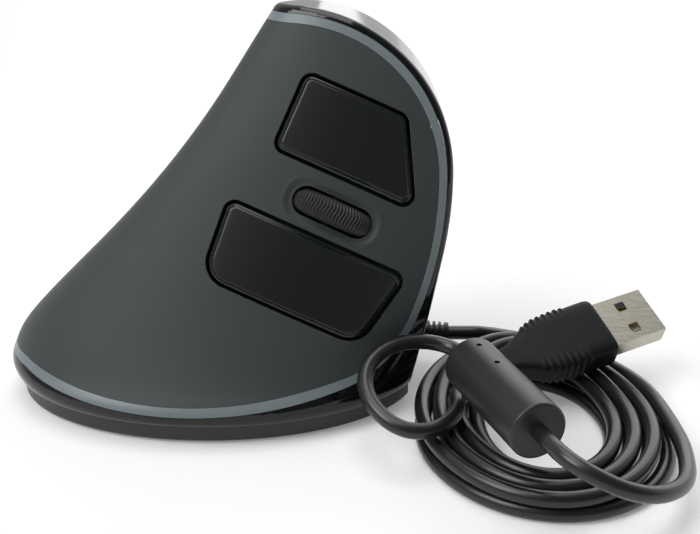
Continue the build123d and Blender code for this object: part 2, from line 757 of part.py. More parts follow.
def hinge_block(button):
    """Two ears on a foot that stands on the finger board."""
    low, high = hinge_ends(button)
    half = BARREL_DIAMETER / 2
    back = button.hinge - half
    front = button.hinge + half
    foot_top = -HINGE_DEPTH - BARREL_DIAMETER / 2 - HINGE_SIDE_GAP
    block = box_between(FINGER, back, front, low, high, -BOARD_DEPTH, foot_top)
    for start, end in ((low, low + HINGE_EAR), (high - HINGE_EAR, high)):
        block = block + box_between(FINGER, back, front, start, end, foot_top, -HINGE_DEPTH)
        block = block + rod_across(FINGER, button.hinge, -HINGE_DEPTH, start, end, half)
    hole = HINGE_PIN_DIAMETER / 2
    return block - rod_across(FINGER, button.hinge, -HINGE_DEPTH, low, high, hole)


def switch_body(button):
    u, v = button.switch
    half = SWITCH_WIDTH / 2
    top = -BOARD_DEPTH + SWITCH_HEIGHT
    case = box_between(
        FINGER, u - SWITCH_LENGTH / 2, u + SWITCH_LENGTH / 2, v - half, v + half, -BOARD_DEPTH, top
    )
    groove = box_between(
        FINGER, u - SWITCH_LENGTH, u + SWITCH_LENGTH, v - half, v - half + SCREW_RECESS,
        top - SWITCH_HEIGHT / 2 - SCREW_RECESS, top - SWITCH_HEIGHT / 2,
    )
    return case - groove - plunger_solid(button, PLUNGER_CLEARANCE, PLUNGER_DEPTH)


def plunger_solid(button, grow, depth):
    u, v = button.switch
    length = PLUNGER_LENGTH / 2 + grow
    width = PLUNGER_WIDTH / 2 + grow
    low = -BOARD_DEPTH + SWITCH_HEIGHT - depth
    return box_between(FINGER, u - length, u + length, v - width, v + width, low, PLUNGER_TOP)


def switch_plunger(button):
    return plunger_solid(button, 0, PLUNGER_DEPTH / 2)


# Finger board

def finger_board():
    outline = Pos(
        (FINGER_BOARD_FRONT - FINGER_BOARD_BACK) / 2, (FINGER_BOARD_TOP - FINGER_BOARD_LOW) / 2
    ) * Rectangle(FINGER_BOARD_FRONT + FINGER_BOARD_BACK, FINGER_BOARD_TOP + FINGER_BOARD_LOW)
    board = slab(FINGER, outline, -BOARD_DEPTH - BOARD_THICKNESS, -BOARD_DEPTH) & ROOM
    board = board - wheel_window(-BOARD_DEPTH - BOARD_THICKNESS, -BOARD_DEPTH)
    for spot in BOARD_BOSS_SPOTS:
        board = board - board_screw_hole(FINGER, spot, -BOARD_DEPTH)
    return board


def wheel_window(low, high):
    half = WHEEL_WINDOW_WIDTH / 2
    return box_between(
        FINGER, -WHEEL_WINDOW_BACK, WHEEL_WINDOW_FRONT, -half, half,
        low - OVERRUN / 10, high + OVERRUN / 10,
    )


# Wheel

WHEEL_DEPTH = WHEEL_RADIUS - WHEEL_PROUD


def wheel_place(solid):
    return FINGER * (Pos(0, 0, -WHEEL_DEPTH) * Rot(90, 0, 0) * solid)


def wheel_tyre():
    tyre = Cylinder(WHEEL_RADIUS, TYRE_WIDTH)
    tyre = fillet(tyre.edges(), TYRE_EDGE)
    tyre = tyre - Cylinder(WHEEL_RADIUS - TYRE_THICKNESS, 2 * TYRE_WIDTH)
    groove = Box(2 * RIB_DEPTH, RIB_WIDTH, TYRE_WIDTH)
    for index in range(TYRE_RIBS):
        tyre = tyre - Rot(0, 0, index * 360 / TYRE_RIBS) * Pos(WHEEL_RADIUS, 0) * groove
    return wheel_place(tyre)


def wheel_hub():
    rim = WHEEL_RADIUS - TYRE_THICKNESS
    hub = Cylinder(rim, HUB_WEB) + Cylinder(HUB_RADIUS, 2 * CARRIAGE_INSIDE - 4 * RUNNING_CLEARANCE)
    edge = Cylinder(rim, TYRE_WIDTH) - Cylinder(rim - HUB_WEB / 2, 2 * TYRE_WIDTH)
    hub = hub + edge
    slot = Box(HUB_SLOT_OUTER - HUB_SLOT_INNER, HUB_SLOT_WIDTH, 2 * HUB_WEB)
    middle = (HUB_SLOT_OUTER + HUB_SLOT_INNER) / 2
    for index in range(HUB_SLOTS):
        hub = hub - Rot(0, 0, index * 360 / HUB_SLOTS) * Pos(middle, 0) * slot
    hub = hub - Cylinder(AXLE_DIAMETER / 2 + RUNNING_CLEARANCE, 2 * TYRE_WIDTH)
    return wheel_place(hub)


def wheel_axle():
    return wheel_place(Cylinder(AXLE_DIAMETER / 2, AXLE_LENGTH))


CARRIAGE_LOW = -BOARD_DEPTH + CARRIAGE_LIFT
CARRIAGE_TOP = CARRIAGE_LOW + CARRIAGE_HEIGHT
CARRIAGE_OUTSIDE = CARRIAGE_INSIDE + CARRIAGE_ARM
WHEEL_PLUNGER_TOP = -BOARD_DEPTH + TACT_HEIGHT + WHEEL_PLUNGER_RISE
PIVOT_Z = CARRIAGE_LOW + CARRIAGE_HEIGHT / 2


def wheel_carriage():
    carriage = None
    for side in (-1, 1):
        inner = side * CARRIAGE_INSIDE
        outer = side * CARRIAGE_OUTSIDE
        arm = box_between(
            FINGER, -CARRIAGE_BACK, CARRIAGE_FRONT, min(inner, outer), max(inner, outer),
            CARRIAGE_LOW, CARRIAGE_TOP,
        )
        carriage = arm if carriage is None else carriage + arm
    reach = CARRIAGE_OUTSIDE
    for start in (-CARRIAGE_BACK, CARRIAGE_FRONT - CARRIAGE_BAR):
        carriage = carriage + box_between(
            FINGER, start, start + CARRIAGE_BAR, -reach, reach, CARRIAGE_LOW, CARRIAGE_TOP
        )
    half = CARRIAGE_NOSE_WIDTH / 2
    nose_low = WHEEL_PLUNGER_TOP + CONTACT_GAP
    nose = box_between(
        FINGER, CARRIAGE_FRONT - CARRIAGE_BAR, CARRIAGE_NOSE, -half, half,
        nose_low, CARRIAGE_TOP + WALL / 2,
    )
    carriage = carriage + nose
    carriage = carriage - wheel_place(Cylinder(AXLE_DIAMETER / 2, 2 * AXLE_LENGTH))
    bore = PIVOT_PIN_DIAMETER / 2 + PIN_CLEARANCE
    return carriage - rod_across(FINGER, -CARRIAGE_PIVOT, PIVOT_Z, -OVERRUN, OVERRUN, bore)


def pivot_span():
    inner = CARRIAGE_OUTSIDE + PIVOT_EAR_GAP
    return inner, inner + PIVOT_EAR


def carriage_pin():
    inner, outer = pivot_span()
    return rod_across(FINGER, -CARRIAGE_PIVOT, PIVOT_Z, -outer, outer, PIVOT_PIN_DIAMETER / 2)


def carriage_bracket():
    """One ear each side of the carriage, on the finger board."""
    ears = []
    inner, outer = pivot_span()
    half = CARRIAGE_HEIGHT / 2
    for side in (-1, 1):
        first = min(side * inner, side * outer)
        last = max(side * inner, side * outer)
        ear = box_between(
            FINGER, -CARRIAGE_PIVOT - half, -CARRIAGE_PIVOT + half, first, last, -BOARD_DEPTH, PIVOT_Z
        )
        ear = ear + rod_across(FINGER, -CARRIAGE_PIVOT, PIVOT_Z, first, last, half)
        ear = ear - rod_across(
            FINGER, -CARRIAGE_PIVOT, PIVOT_Z, -OVERRUN, OVERRUN, PIVOT_PIN_DIAMETER / 2
        )
        ears.append(ear)
    return ears


def wheel_switch():
    u = CARRIAGE_NOSE - TACT_SIZE / 2
    half = TACT_SIZE / 2
    case = box_between(
        FINGER, u - half + WHEEL_SWITCH_TRIM, u + half, -half, half, -BOARD_DEPTH,
        -BOARD_DEPTH + TACT_HEIGHT,
    )
    bore = Cylinder(TACT_PLUNGER_RADIUS + PLUNGER_CLEARANCE, 2 * TACT_HEIGHT - SCREW_RECESS)
    return case - FINGER * (Pos(u, 0, -BOARD_DEPTH + TACT_HEIGHT) * bore)


def wheel_plunger():
    u = CARRIAGE_NOSE - TACT_SIZE / 2
    face = Pos(u, 0) * Circle(TACT_PLUNGER_RADIUS)
    return slab(FINGER, face, -BOARD_DEPTH + TACT_HEIGHT - SCREW_RECESS / 2, WHEEL_PLUNGER_TOP)


def wheel_reader(side):
    """Light emitter or receiver that looks through the hub's slots."""
    near = side * (CARRIAGE_OUTSIDE + PIVOT_EAR_GAP)
    far = near + side * SENSOR_BODY
    edge = WHEEL_WINDOW_WIDTH / 2
    if abs(near) < edge:
        near = side * (edge + SCREW_CLEARANCE)
        far = near + side * SENSOR_BODY
    half = SENSOR_SPAN / 4
    case = box_between(
        FINGER, SENSOR_AHEAD - half, SENSOR_AHEAD + half, min(near, far), max(near, far),
        -BOARD_DEPTH, -BOARD_DEPTH + SENSOR_HEIGHT,
    )
    return case


# Inner frame

def inner_frame():
    face = Rectangle(2 * LENGTH, 4 * HEIGHT)
    outline = polygon([(u * LENGTH, v * LENGTH) for u, v in FRAME_PLATE_SHARES])
    plate = slab(FINGER, outline, -FRAME_DEPTH - FRAME_THICKNESS, -FRAME_DEPTH)
    plate = plate - wheel_window(-FRAME_DEPTH - FRAME_THICKNESS, -FRAME_DEPTH)
    middle = (FRAME_POST_SPOTS[0][0] + FRAME_POST_SPOTS[1][0]) / 2
    foot = Pos(middle, FRAME_FOOT_Y, PAD_TOP + FRAME_FOOT_HEIGHT / 2)
    foot = foot * Box(FRAME_FOOT_LENGTH, FRAME_FOOT_DEPTH, FRAME_FOOT_HEIGHT)
    frame = plate + foot
    for spot in FRAME_POST_SPOTS:
        frame = frame + upright(spot, FRAME_POST_RADIUS, PAD_TOP, PAD_TOP + FRAME_POST_HEIGHT)
    for u, v in BOARD_BOSS_SPOTS:
        boss = Pos(u, v) * Circle(BOSS_RADIUS)
        frame = frame + slab(FINGER, boss, -FRAME_DEPTH - SCREW_RECESS, -BOARD_DEPTH - BOARD_THICKNESS)
    back = SIDE_BOARD_FACE_Y - SIDE_BOARD_THICKNESS
    keep = slab(FINGER, face, -FRAME_DEPTH - HEIGHT, -FRAME_DEPTH - SCREW_RECESS)
    for x, z in SIDE_BOSS_SPOTS:
        boss = Pos(x, back / 2, z) * Rot(90, 0, 0) * Cylinder(BOSS_RADIUS, back)
        frame = frame + (boss & keep)
    for spot in FRAME_POST_SPOTS:
        frame = frame - screw_hole(spot)
    for spot in BOARD_BOSS_SPOTS:
        frame = frame - board_screw_hole(FINGER, spot, -BOARD_DEPTH)
    for x, z in SIDE_BOSS_SPOTS:
        frame = frame - board_screw_hole(THUMB, (-x, z), SIDE_BOARD_FACE_Y)
    return frame.solids().sort_by(SortBy.VOLUME)[-1]


# Thumb side buttons

def side_cap(x, length):
    cap = body(-SIDE_CAP_PROUD) & through_thumb_side(side_button_outline(x, length, SIDE_CAP_GAP))
    cap = cap - body(SIDE_CAP_THICKNESS)
    inner = body(WALL + LUG_CLEARANCE) - body(WALL + LUG_CLEARANCE + LUG_THICKNESS)
    low = THUMB_BUTTON_HEIGHT - SIDE_BUTTON_WIDTH / 4
    high = THUMB_BUTTON_HEIGHT + SIDE_BUTTON_WIDTH / 4
    reach = length / 2 + LUG_REACH
    span = box_between(THUMB, -x - reach, -x + reach, low, high, 0, WIDTH)
    lugs = inner & span
    neck = body(SIDE_CAP_THICKNESS / 2) & through_thumb_side(
        side_button_outline(x, length, SIDE_CAP_GAP)
    ) & span
    neck = neck - body(WALL + LUG_CLEARANCE + LUG_THICKNESS)
    post = Pos(-x, THUMB_BUTTON_HEIGHT) * Circle(POST_RADIUS)
    tip = SIDE_BOARD_FACE_Y + SIDE_TACT_HEIGHT + SIDE_PLUNGER_RISE + CONTACT_GAP
    post = slab(THUMB, post, tip, WIDTH) & body(SIDE_CAP_THICKNESS / 2)
    around = SIDE_TACT_SIZE + 2 * LUG_CLEARANCE
    hollow = slab(THUMB, Pos(-x, THUMB_BUTTON_HEIGHT) * Rectangle(around, 2 * around), 0, tip)
    under = slab(THUMB, Rectangle(4 * LENGTH, 4 * HEIGHT), 0, SIDE_BOARD_FACE_Y + SIDE_TRAVEL_ROOM)
    return cap + lugs + neck + post - hollow - under


def side_tact(x):
    half = SIDE_TACT_SIZE / 2
    low = THUMB_BUTTON_HEIGHT - half
    high = THUMB_BUTTON_HEIGHT + half
    top = SIDE_BOARD_FACE_Y + SIDE_TACT_HEIGHT
    case = box_between(THUMB, -x - half, -x + half, low, high, SIDE_BOARD_FACE_Y, top)
    hole = Pos(-x, THUMB_BUTTON_HEIGHT) * Circle(TACT_PLUNGER_RADIUS + PLUNGER_CLEARANCE)
    return case - slab(THUMB, hole, SIDE_BOARD_FACE_Y + SCREW_RECESS, top + OVERRUN)


def side_plunger(x):
    low = SIDE_BOARD_FACE_Y + SIDE_TACT_HEIGHT - SCREW_RECESS
    high = SIDE_BOARD_FACE_Y + SIDE_TACT_HEIGHT + SIDE_PLUNGER_RISE
    place = Pos(x, (low + high) / 2, THUMB_BUTTON_HEIGHT) * Rot(90, 0, 0)
    return place * Cylinder(TACT_PLUNGER_RADIUS, high - low)


def side_board():
    length = SIDE_BOARD_FRONT - SIDE_BOARD_BACK
    height = SIDE_BOARD_HIGH - SIDE_BOARD_LOW
    board = Pos(
        (SIDE_BOARD_FRONT + SIDE_BOARD_BACK) / 2,
        SIDE_BOARD_FACE_Y - SIDE_BOARD_THICKNESS / 2,
        (SIDE_BOARD_HIGH + SIDE_BOARD_LOW) / 2,
    ) * Box(length, SIDE_BOARD_THICKNESS, height)
    for x, z in SIDE_BOSS_SPOTS:
        board = board - board_screw_hole(THUMB, (-x, z), SIDE_BOARD_FACE_Y)
    return board


# Base board and what it carries

def main_board():
    length = MAIN_BOARD_BACK + MAIN_BOARD_FRONT
    width = MAIN_BOARD_FAR - MAIN_BOARD_NEAR
    middle = ((MAIN_BOARD_FRONT - MAIN_BOARD_BACK) / 2, (MAIN_BOARD_FAR + MAIN_BOARD_NEAR) / 2)
    board = Pos(middle[0], middle[1], MAIN_BOARD_LOW)
    board = board * extrude(RectangleRounded(length, width, MAIN_BOARD_CORNER), amount=BOARD_THICKNESS)
    for spot in STANDOFF_SPOTS:
        board = board - board_screw_hole(Plane.XY, spot, MAIN_BOARD_TOP)
    return board - upright((SENSOR_X, SENSOR_Y), LENS_WINDOW_RADIUS, 0, OVERRUN)


def sensor_lens():
    plate = Pos(SENSOR_X, SENSOR_Y, FLOOR + LENS_THICKNESS / 2)
    plate = plate * Box(LENS_LENGTH, LENS_WIDTH, LENS_THICKNESS)
    spot = (SENSOR_X, SENSOR_Y)
    low = FOOT_LIFT + SCREW_RECESS
    return plate + upright(spot, LENS_WINDOW_RADIUS, low, FLOOR + LENS_THICKNESS)


def sensor_chip():
    chip = Pos(SENSOR_X, SENSOR_Y, MAIN_BOARD_TOP + SENSOR_CHIP_HEIGHT / 2)
    chip = chip * Box(SENSOR_CHIP_LENGTH, SENSOR_CHIP_WIDTH, SENSOR_CHIP_HEIGHT)
    hole = upright((SENSOR_X, SENSOR_Y), SENSOR_HOLE_RADIUS, 0, MAIN_BOARD_TOP + SENSOR_CHIP_HEIGHT / 2)
    return chip - hole


def controller_chip():
    chip = Pos(CONTROLLER_X, CONTROLLER_Y, MAIN_BOARD_TOP + CONTROLLER_HEIGHT / 2)
    return chip * Box(CONTROLLER_WIDTH, CONTROLLER_LENGTH, CONTROLLER_HEIGHT)


def ring_leds():
    leds = []
    for x, y in LED_SPOTS:
        leds.append(Pos(x, y, MAIN_BOARD_TOP + LED_HEIGHT / 2) * Box(LED_SIZE, LED_SIZE, LED_HEIGHT))
    return leds


def cable_socket():
    socket = Pos(SOCKET_X, CORD_EXIT_Y, MAIN_BOARD_TOP + SOCKET_HEIGHT / 2)
    return socket * Box(SOCKET_LENGTH, SOCKET_WIDTH, SOCKET_HEIGHT)


def relief_root():
    return RELIEF_TIP_X - RELIEF_LENGTH


def inner_cable():
    start = SOCKET_X + SOCKET_LENGTH / 2
    end = face_x(CORD_EXIT_Z, 0) - RELIEF_FLANGE - WALL
    cable = Pos((start + end) / 2, CORD_EXIT_Y, CORD_EXIT_Z) * Rot(0, 90, 0)
    return cable * Cylinder(INNER_CABLE_DIAMETER / 2, end - start)


def strain_relief():
    inner_x = face_x(CORD_EXIT_Z, 0) - RELIEF_FLANGE - WALL
    flange_end = inner_x + RELIEF_FLANGE
    profile = Polyline(
        (inner_x, 0), (inner_x, RELIEF_FLANGE_RADIUS), (flange_end, RELIEF_FLANGE_RADIUS),
        (flange_end, RELIEF_NECK_RADIUS), (relief_root() + WALL, RELIEF_NECK_RADIUS),
        (relief_root() + WALL, RELIEF_ROOT_RADIUS), (RELIEF_TIP_X, RELIEF_TIP_RADIUS), (RELIEF_TIP_X, 0),
        close=True,
    )
    solid = revolve(make_face(profile), axis=Axis.X)
    groove = Cylinder(RELIEF_ROOT_RADIUS + WALL, RELIEF_GROOVE_WIDTH)
    groove = groove - Cylinder(RELIEF_TIP_RADIUS - RELIEF_GROOVE_DEPTH, RELIEF_GROOVE_WIDTH)
    step = (RELIEF_LENGTH - WALL) / (RELIEF_GROOVES + 1)
    for index in range(RELIEF_GROOVES):
        x = relief_root() + WALL + step * (index + 1)
        solid = solid - Pos(x, 0, 0) * Rot(0, 90, 0) * groove
    return Pos(0, CORD_EXIT_Y, CORD_EXIT_Z) * solid


# Free cord

def run_radii(points):
    """Arc radius at each corner, as large as its two runs allow."""
    radii = []
    for before, here, after in zip(points, points[1:], points[2:]):
        first = Vector(*here) - Vector(*before)
        second = Vector(*after) - Vector(*here)
        half = math.radians(first.get_angle(second)) / 2
        radii.append(RUN_ARC_SHARE * min(first.length, second.length) / math.tan(half))
    return radii


def cord_tube(points, name):
    radii = run_radii(points)
    path = FilletPolyline(*points, radius=radii)
    section = Plane(origin=path @ 0, z_dir=path % 0) * Circle(CORD_DIAMETER / 2)
    tube = sweep(section, path=path)
    expected = path.length * math.pi * CORD_DIAMETER ** 2 / 4
    print(name, "length", round(path.length, 1), "volume ratio", round(tube.volume / expected, 4),
          "radii", [round(value, 1) for value in radii])
    return tube


COIL_TURNS = COIL_TURNS_PER_LAYER * COIL_LAYERS


def coil_inset(turn):
    position = turn % (2 * COIL_TURNS_PER_LAYER)
    return COIL_PITCH * min(position, 2 * COIL_TURNS_PER_LAYER - position)


def coil_height(turn):
    layer = 0
    for index in range(1, COIL_LAYERS):
        share = (turn - index * COIL_TURNS_PER_LAYER + COIL_RISE_SHARE) / (2 * COIL_RISE_SHARE)
        share = min(1, max(0, share))
        layer = layer + (1 - math.cos(math.pi * share)) / 2
    return CORD_DIAMETER / 2 + COIL_LIFT + COIL_PITCH * layer


def coil_point(turn):
    """Egg-shaped turns, wider behind than in front, going clockwise from above."""
    angle = -2 * math.pi * turn
    inset = coil_inset(turn)
    depth = COIL_BACK if math.sin(angle) > 0 else COIL_FRONT
    x = COIL_X + (COIL_HALF_WIDTH - inset) * math.cos(angle)
    y = COIL_Y + (depth - inset) * math.sin(angle)
    return Vector(x, y, coil_height(turn))


def coil_tangent(turn):
    angle = -2 * math.pi * turn
    inset = coil_inset(turn)
    depth = COIL_BACK + COIL_FRONT
    flat = Vector(
        (COIL_HALF_WIDTH - inset) * math.sin(angle), -(depth / 2 - inset) * math.cos(angle), 0
    )
    step = COIL_STEP_SHARE
    rise = coil_height(min(COIL_TURNS, turn + step)) - coil_height(max(0, turn - step))
    run = 2 * math.pi * (COIL_HALF_WIDTH + depth / 2 - 2 * inset) / 2 * 2 * step
    return (flat.normalized() + Vector(0, 0, rise / run)).normalized()


def biarc(start, start_dir, end, end_dir):
    """Two arcs that leave start and reach end along the given directions."""
    gap = end - start
    both = start_dir + end_dir
    a = 2 * (1 - start_dir.dot(end_dir))
    b = gap.dot(both)
    c = gap.dot(gap)
    reach = (-b + math.sqrt(b * b + a * c)) / a if a > 1e-9 else c / (2 * b)
    joint = (start + start_dir * reach + end - end_dir * reach) / 2
    arcs = [TangentArc(start, joint, tangent=start_dir)]
    arcs.append(TangentArc(end, joint, tangent=end_dir * -1))
    return arcs


def coil_path():
    edges = []
    first = coil_point(0)
    heading = coil_tangent(0)
    edges.append(Line(first - heading * CORD_DIAMETER, first))
    steps = round(COIL_TURNS * 4)
    for index in range(steps):
        here = index / 4
        there = (index + 1) / 4
        edges.extend(
            biarc(coil_point(here), coil_tangent(here), coil_point(there), coil_tangent(there))
        )
    last = coil_point(COIL_TURNS)
    heading = coil_tangent(COIL_TURNS)
    edges.append(Line(last, last + heading * CORD_DIAMETER))
    return Wire(edges)


def coil_self_gap(path):
    """Least gap between strands that are more than half a turn apart."""
    count = COIL_SAMPLES
    points = [path @ (index / count) for index in range(count + 1)]
    apart = round(count / COIL_TURNS / 2)
    least = LENGTH
    for first in range(count + 1):
        for second in range(first + apart, count + 1):
            least = min(least, (points[first] - points[second]).length)
    return least - CORD_DIAMETER


def cord_coil():
    path = coil_path()
    section = Plane(origin=path @ 0, z_dir=path % 0) * Circle(CORD_DIAMETER / 2)
    coil = sweep(section, path=path)
    expected = path.length * math.pi * CORD_DIAMETER ** 2 / 4
    print("coil length", round(path.length, 1), "volume ratio", round(coil.volume / expected, 4))
    print("coil least self-gap", round(coil_self_gap(path), 2))
    return coil


def ferrite_choke():
    start = Vector(*LINK_POINTS[0])
    end = Vector(*TAIL_POINTS[-1])
    along = (end - start).normalized()
    plane = Plane(origin=start, x_dir=along, z_dir=(0, 0, 1))
    body_part = Pos(CHOKE_LENGTH / 2, 0, 0) * Rot(0, 90, 0) * Cylinder(CHOKE_RADIUS, CHOKE_LENGTH)
    body_part = fillet(body_part.edges().filter_by(GeomType.CIRCLE), CHOKE_EDGE)
    core = Pos(CHOKE_LENGTH / 2, 0, 0) * Rot(0, 90, 0) * Cylinder(CHOKE_CORE_RADIUS, CHOKE_CORE_LENGTH)
    body_part = body_part - core
    for share in CHOKE_PIN_SHARES:
        pin = Pos(share * CHOKE_LENGTH, 0, CHOKE_RADIUS)
        body_part = body_part - pin * Cylinder(CHOKE_PIN_HOLE, 2 * CHOKE_PIN_DEPTH)
    return plane * body_part, plane * core


def plug_frame():
    return Pos(*PLUG_SPOT) * Rot(0, 0, PLUG_YAW) * Rot(0, -PLUG_PITCH, 0) * Rot(PLUG_ROLL, 0, 0)


def plug_grip():
    sections = []
    for along, wide, high in GRIP_ROW_SHARES:
        face = RectangleRounded(GRIP_WIDTH * wide, GRIP_HEIGHT * high, GRIP_CORNER)
        place = Plane(origin=(along * GRIP_LENGTH, 0, 0), x_dir=(0, 1, 0), z_dir=(1, 0, 0))
        sections.append(place * face)
    grip = loft(sections, ruled=True)
    for side in (-1, 1):
        for index, share in enumerate(GRIP_RIB_REACH_SHARES):
            x = -GRIP_LENGTH * GRIP_RIB_START_SHARE - index * GRIP_RIB_PITCH
            y = side * (GRIP_WIDTH / 2 - GRIP_RIB_RISE)
            rib = Box(GRIP_RIB_WIDTH, 4 * GRIP_RIB_RISE, GRIP_HEIGHT * GRIP_RIB_HEIGHT_SHARE)
            grip = grip + Pos(x, y * share, 0) * rib
    socket = Pos(-USB_BURIED / 2, 0, 0) * Box(USB_BURIED, USB_WIDTH, USB_HEIGHT)
    return plug_frame() * (grip - socket)


def usb_shell():
    total = USB_LENGTH + USB_BURIED
    middle = (USB_LENGTH - USB_BURIED) / 2
    shell = Pos(middle, 0, 0) * Box(total, USB_WIDTH, USB_HEIGHT)
    inside = Pos(middle, 0, 0) * Box(
        2 * total, USB_WIDTH - 2 * USB_SHEET, USB_HEIGHT - 2 * USB_SHEET
    )
    shell = shell - inside
    for side in (-1, 1):
        window = Pos(USB_WINDOW_AT, side * USB_WINDOW_SPACING / 2, 0)
        shell = shell - window * Box(USB_WINDOW, USB_WINDOW, 2 * USB_HEIGHT)
    return plug_frame() * shell


def tongue_place():
    low = -USB_HEIGHT / 2 + USB_SHEET
    return low, low + TONGUE_HEIGHT


def usb_tongue():
    total = USB_LENGTH + USB_BURIED - USB_SHEET
    low, high = tongue_place()
    tongue = Pos((USB_LENGTH - USB_BURIED - USB_SHEET) / 2, 0, (low + high) / 2)
    return plug_frame() * (tongue * Box(total, TONGUE_WIDTH, TONGUE_HEIGHT))


def usb_contacts():
    contacts = []
    low, high = tongue_place()
    for index in range(4):
        y = (index - 1.5) * CONTACT_PITCH
        x = USB_LENGTH - USB_SHEET - CONTACT_LENGTH / 2 - CONTACT_WIDTH
        strip = Pos(x, y, high + CONTACT_HEIGHT / 2)
        contacts.append(plug_frame() * (strip * Box(CONTACT_LENGTH, CONTACT_WIDTH, CONTACT_HEIGHT)))
    return contacts


# Writing the parts

def save(name, shape):
    solids = shape if isinstance(shape, list) else [shape]
    parts = []
    for item in solids:
        parts.extend(item.solids())
    result = parts[0] if len(parts) == 1 else Compound(parts)
    export_step(result, os.path.join("parts", name + ".step"))


def main():
    os.makedirs("parts", exist_ok=True)
    save("grip_shell", grip_shell())
    save("light_ring", light_ring())
    save("gloss_frame", gloss_frame())
    save("base_case", base_case())
    save("glide_feet", glide_feet())
    save("base_screws", [base_screw(spot) for spot in ALL_SCREW_SPOTS])
    save("left_button", finger_button(INDEX))
    save("right_button", finger_button(MIDDLE))
    save("button_hinge_pins", [hinge_pin(INDEX), hinge_pin(MIDDLE)])
    save("button_hinge_blocks", [hinge_block(INDEX), hinge_block(MIDDLE)])
    save("left_switch", switch_body(INDEX))
    save("right_switch", switch_body(MIDDLE))
    save("left_switch_plunger", switch_plunger(INDEX))
    save("right_switch_plunger", switch_plunger(MIDDLE))
    save("finger_board", finger_board())
    save("wheel_tyre", wheel_tyre())
    save("wheel_hub", wheel_hub())
    save("wheel_axle", wheel_axle())
    save("wheel_carriage", wheel_carriage())
    save("carriage_pin", carriage_pin())
    save("carriage_bracket", carriage_bracket())
    save("wheel_switch", wheel_switch())
    save("wheel_switch_plunger", wheel_plunger())
    save("wheel_light_emitter", wheel_reader(1))
    save("wheel_light_receiver", wheel_reader(-1))
    save("inner_frame", inner_frame())
    board_screws = [board_screw(FINGER, spot, -BOARD_DEPTH) for spot in BOARD_BOSS_SPOTS]
    board_screws += [board_screw(THUMB, (-x, z), SIDE_BOARD_FACE_Y) for x, z in SIDE_BOSS_SPOTS]
    board_screws += [board_screw(Plane.XY, spot, MAIN_BOARD_TOP) for spot in STANDOFF_SPOTS]
    save("board_screws", board_screws)
    for name, x, length in SIDE_BUTTONS:
        save(name, side_cap(x, length))
        save(name.replace("button", "switch"), side_tact(x))
        save(name.replace("button", "switch_plunger"), side_plunger(x))
    save("side_board", side_board())
    save("main_board", main_board())
    save("sensor_lens", sensor_lens())
    save("sensor_chip", sensor_chip())
    save("controller_chip", controller_chip())
    save("ring_leds", ring_leds())
    save("cable_socket", cable_socket())
    save("inner_cable", inner_cable())
    save("strain_relief", strain_relief())
    save("cord_lead", cord_tube(LEAD_POINTS, "lead"))
    save("cord_coil", cord_coil())
    save("cord_tail", cord_tube(TAIL_POINTS, "tail"))
    save("cord_link", cord_tube(LINK_POINTS, "link"))
    shell, core = ferrite_choke()
    save("ferrite_choke", shell)
    save("ferrite_core", core)
    save("plug_grip", plug_grip())
    save("usb_shell", usb_shell())
    save("usb_tongue", usb_tongue())
    save("usb_contacts", usb_contacts())


main()
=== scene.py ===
import math

import bmesh
import bpy
import numpy
from mathutils import Matrix, Vector
from mathutils.bvhtree import BVHTree


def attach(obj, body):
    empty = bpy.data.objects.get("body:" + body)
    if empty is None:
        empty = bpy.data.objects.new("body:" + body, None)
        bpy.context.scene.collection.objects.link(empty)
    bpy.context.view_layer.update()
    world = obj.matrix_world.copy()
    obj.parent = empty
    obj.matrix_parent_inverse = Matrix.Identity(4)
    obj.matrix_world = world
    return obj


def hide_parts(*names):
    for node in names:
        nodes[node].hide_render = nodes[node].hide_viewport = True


# Lengths are in mm and the scene is in metres
MM = 0.001

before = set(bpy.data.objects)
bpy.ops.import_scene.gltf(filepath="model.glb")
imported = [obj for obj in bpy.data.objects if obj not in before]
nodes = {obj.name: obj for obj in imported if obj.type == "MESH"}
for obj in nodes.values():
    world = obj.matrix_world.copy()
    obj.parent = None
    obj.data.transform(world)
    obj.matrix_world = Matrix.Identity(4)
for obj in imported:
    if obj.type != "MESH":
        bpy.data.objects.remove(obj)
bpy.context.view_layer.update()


def ease(share):
    """A smooth climb from 0 to 1."""
    return (1 - math.cos(math.pi * share)) / 2


# Shader nodes

def map_range(tree, value, from_range, to_range):
    """A node that moves a value from one range to another."""
    node = tree.nodes.new("ShaderNodeMapRange")
    ends = ("From Min", "From Max", "To Min", "To Max")
    for end, number in zip(ends, (*from_range, *to_range)):
        node.inputs[end].default_value = number
    tree.links.new(value, node.inputs["Value"])
    return node


def combine(tree, operation, first, second):
    """What a math node makes of two sockets."""
    node = tree.nodes.new("ShaderNodeMath")
    node.operation = operation
    tree.links.new(first, node.inputs[0])
    tree.links.new(second, node.inputs[1])
    return node.outputs["Value"]


def noise(tree, place, scale, detail):
    node = tree.nodes.new("ShaderNodeTexNoise")
    node.inputs["Scale"].default_value = scale
    node.inputs["Detail"].default_value = detail
    tree.links.new(place, node.inputs["Vector"])
    return node.outputs["Fac"]


def vary_roughness(tree, shader, value, rough, vary):
    """Moves the roughness up and down by vary as the value goes from 0 to 1."""
    spread = map_range(tree, value, (0, 1), (rough - vary, rough + vary))
    tree.links.new(spread.outputs["Result"], shader.inputs["Roughness"])


# Materials

SHEEN_ROUGHNESS = 0.45
GRAIN_DETAIL = 3
GRAIN_HEIGHT = 0.05
SMUDGE_SCALE = 45
SMUDGE_DETAIL = 5
SCRATCH_SCALE = 260
SCRATCH_DETAIL = 4
SCRATCH_STRETCH = (1, 9, 9)
SCRATCH_VARY = 0.1


def new_material(name, color):
    material = bpy.data.materials.new(name)
    material.use_nodes = True
    tree = material.node_tree
    shader = tree.nodes.get("Principled BSDF")
    shader.inputs["Base Color"].default_value = (*color, 1)
    return material, tree, shader


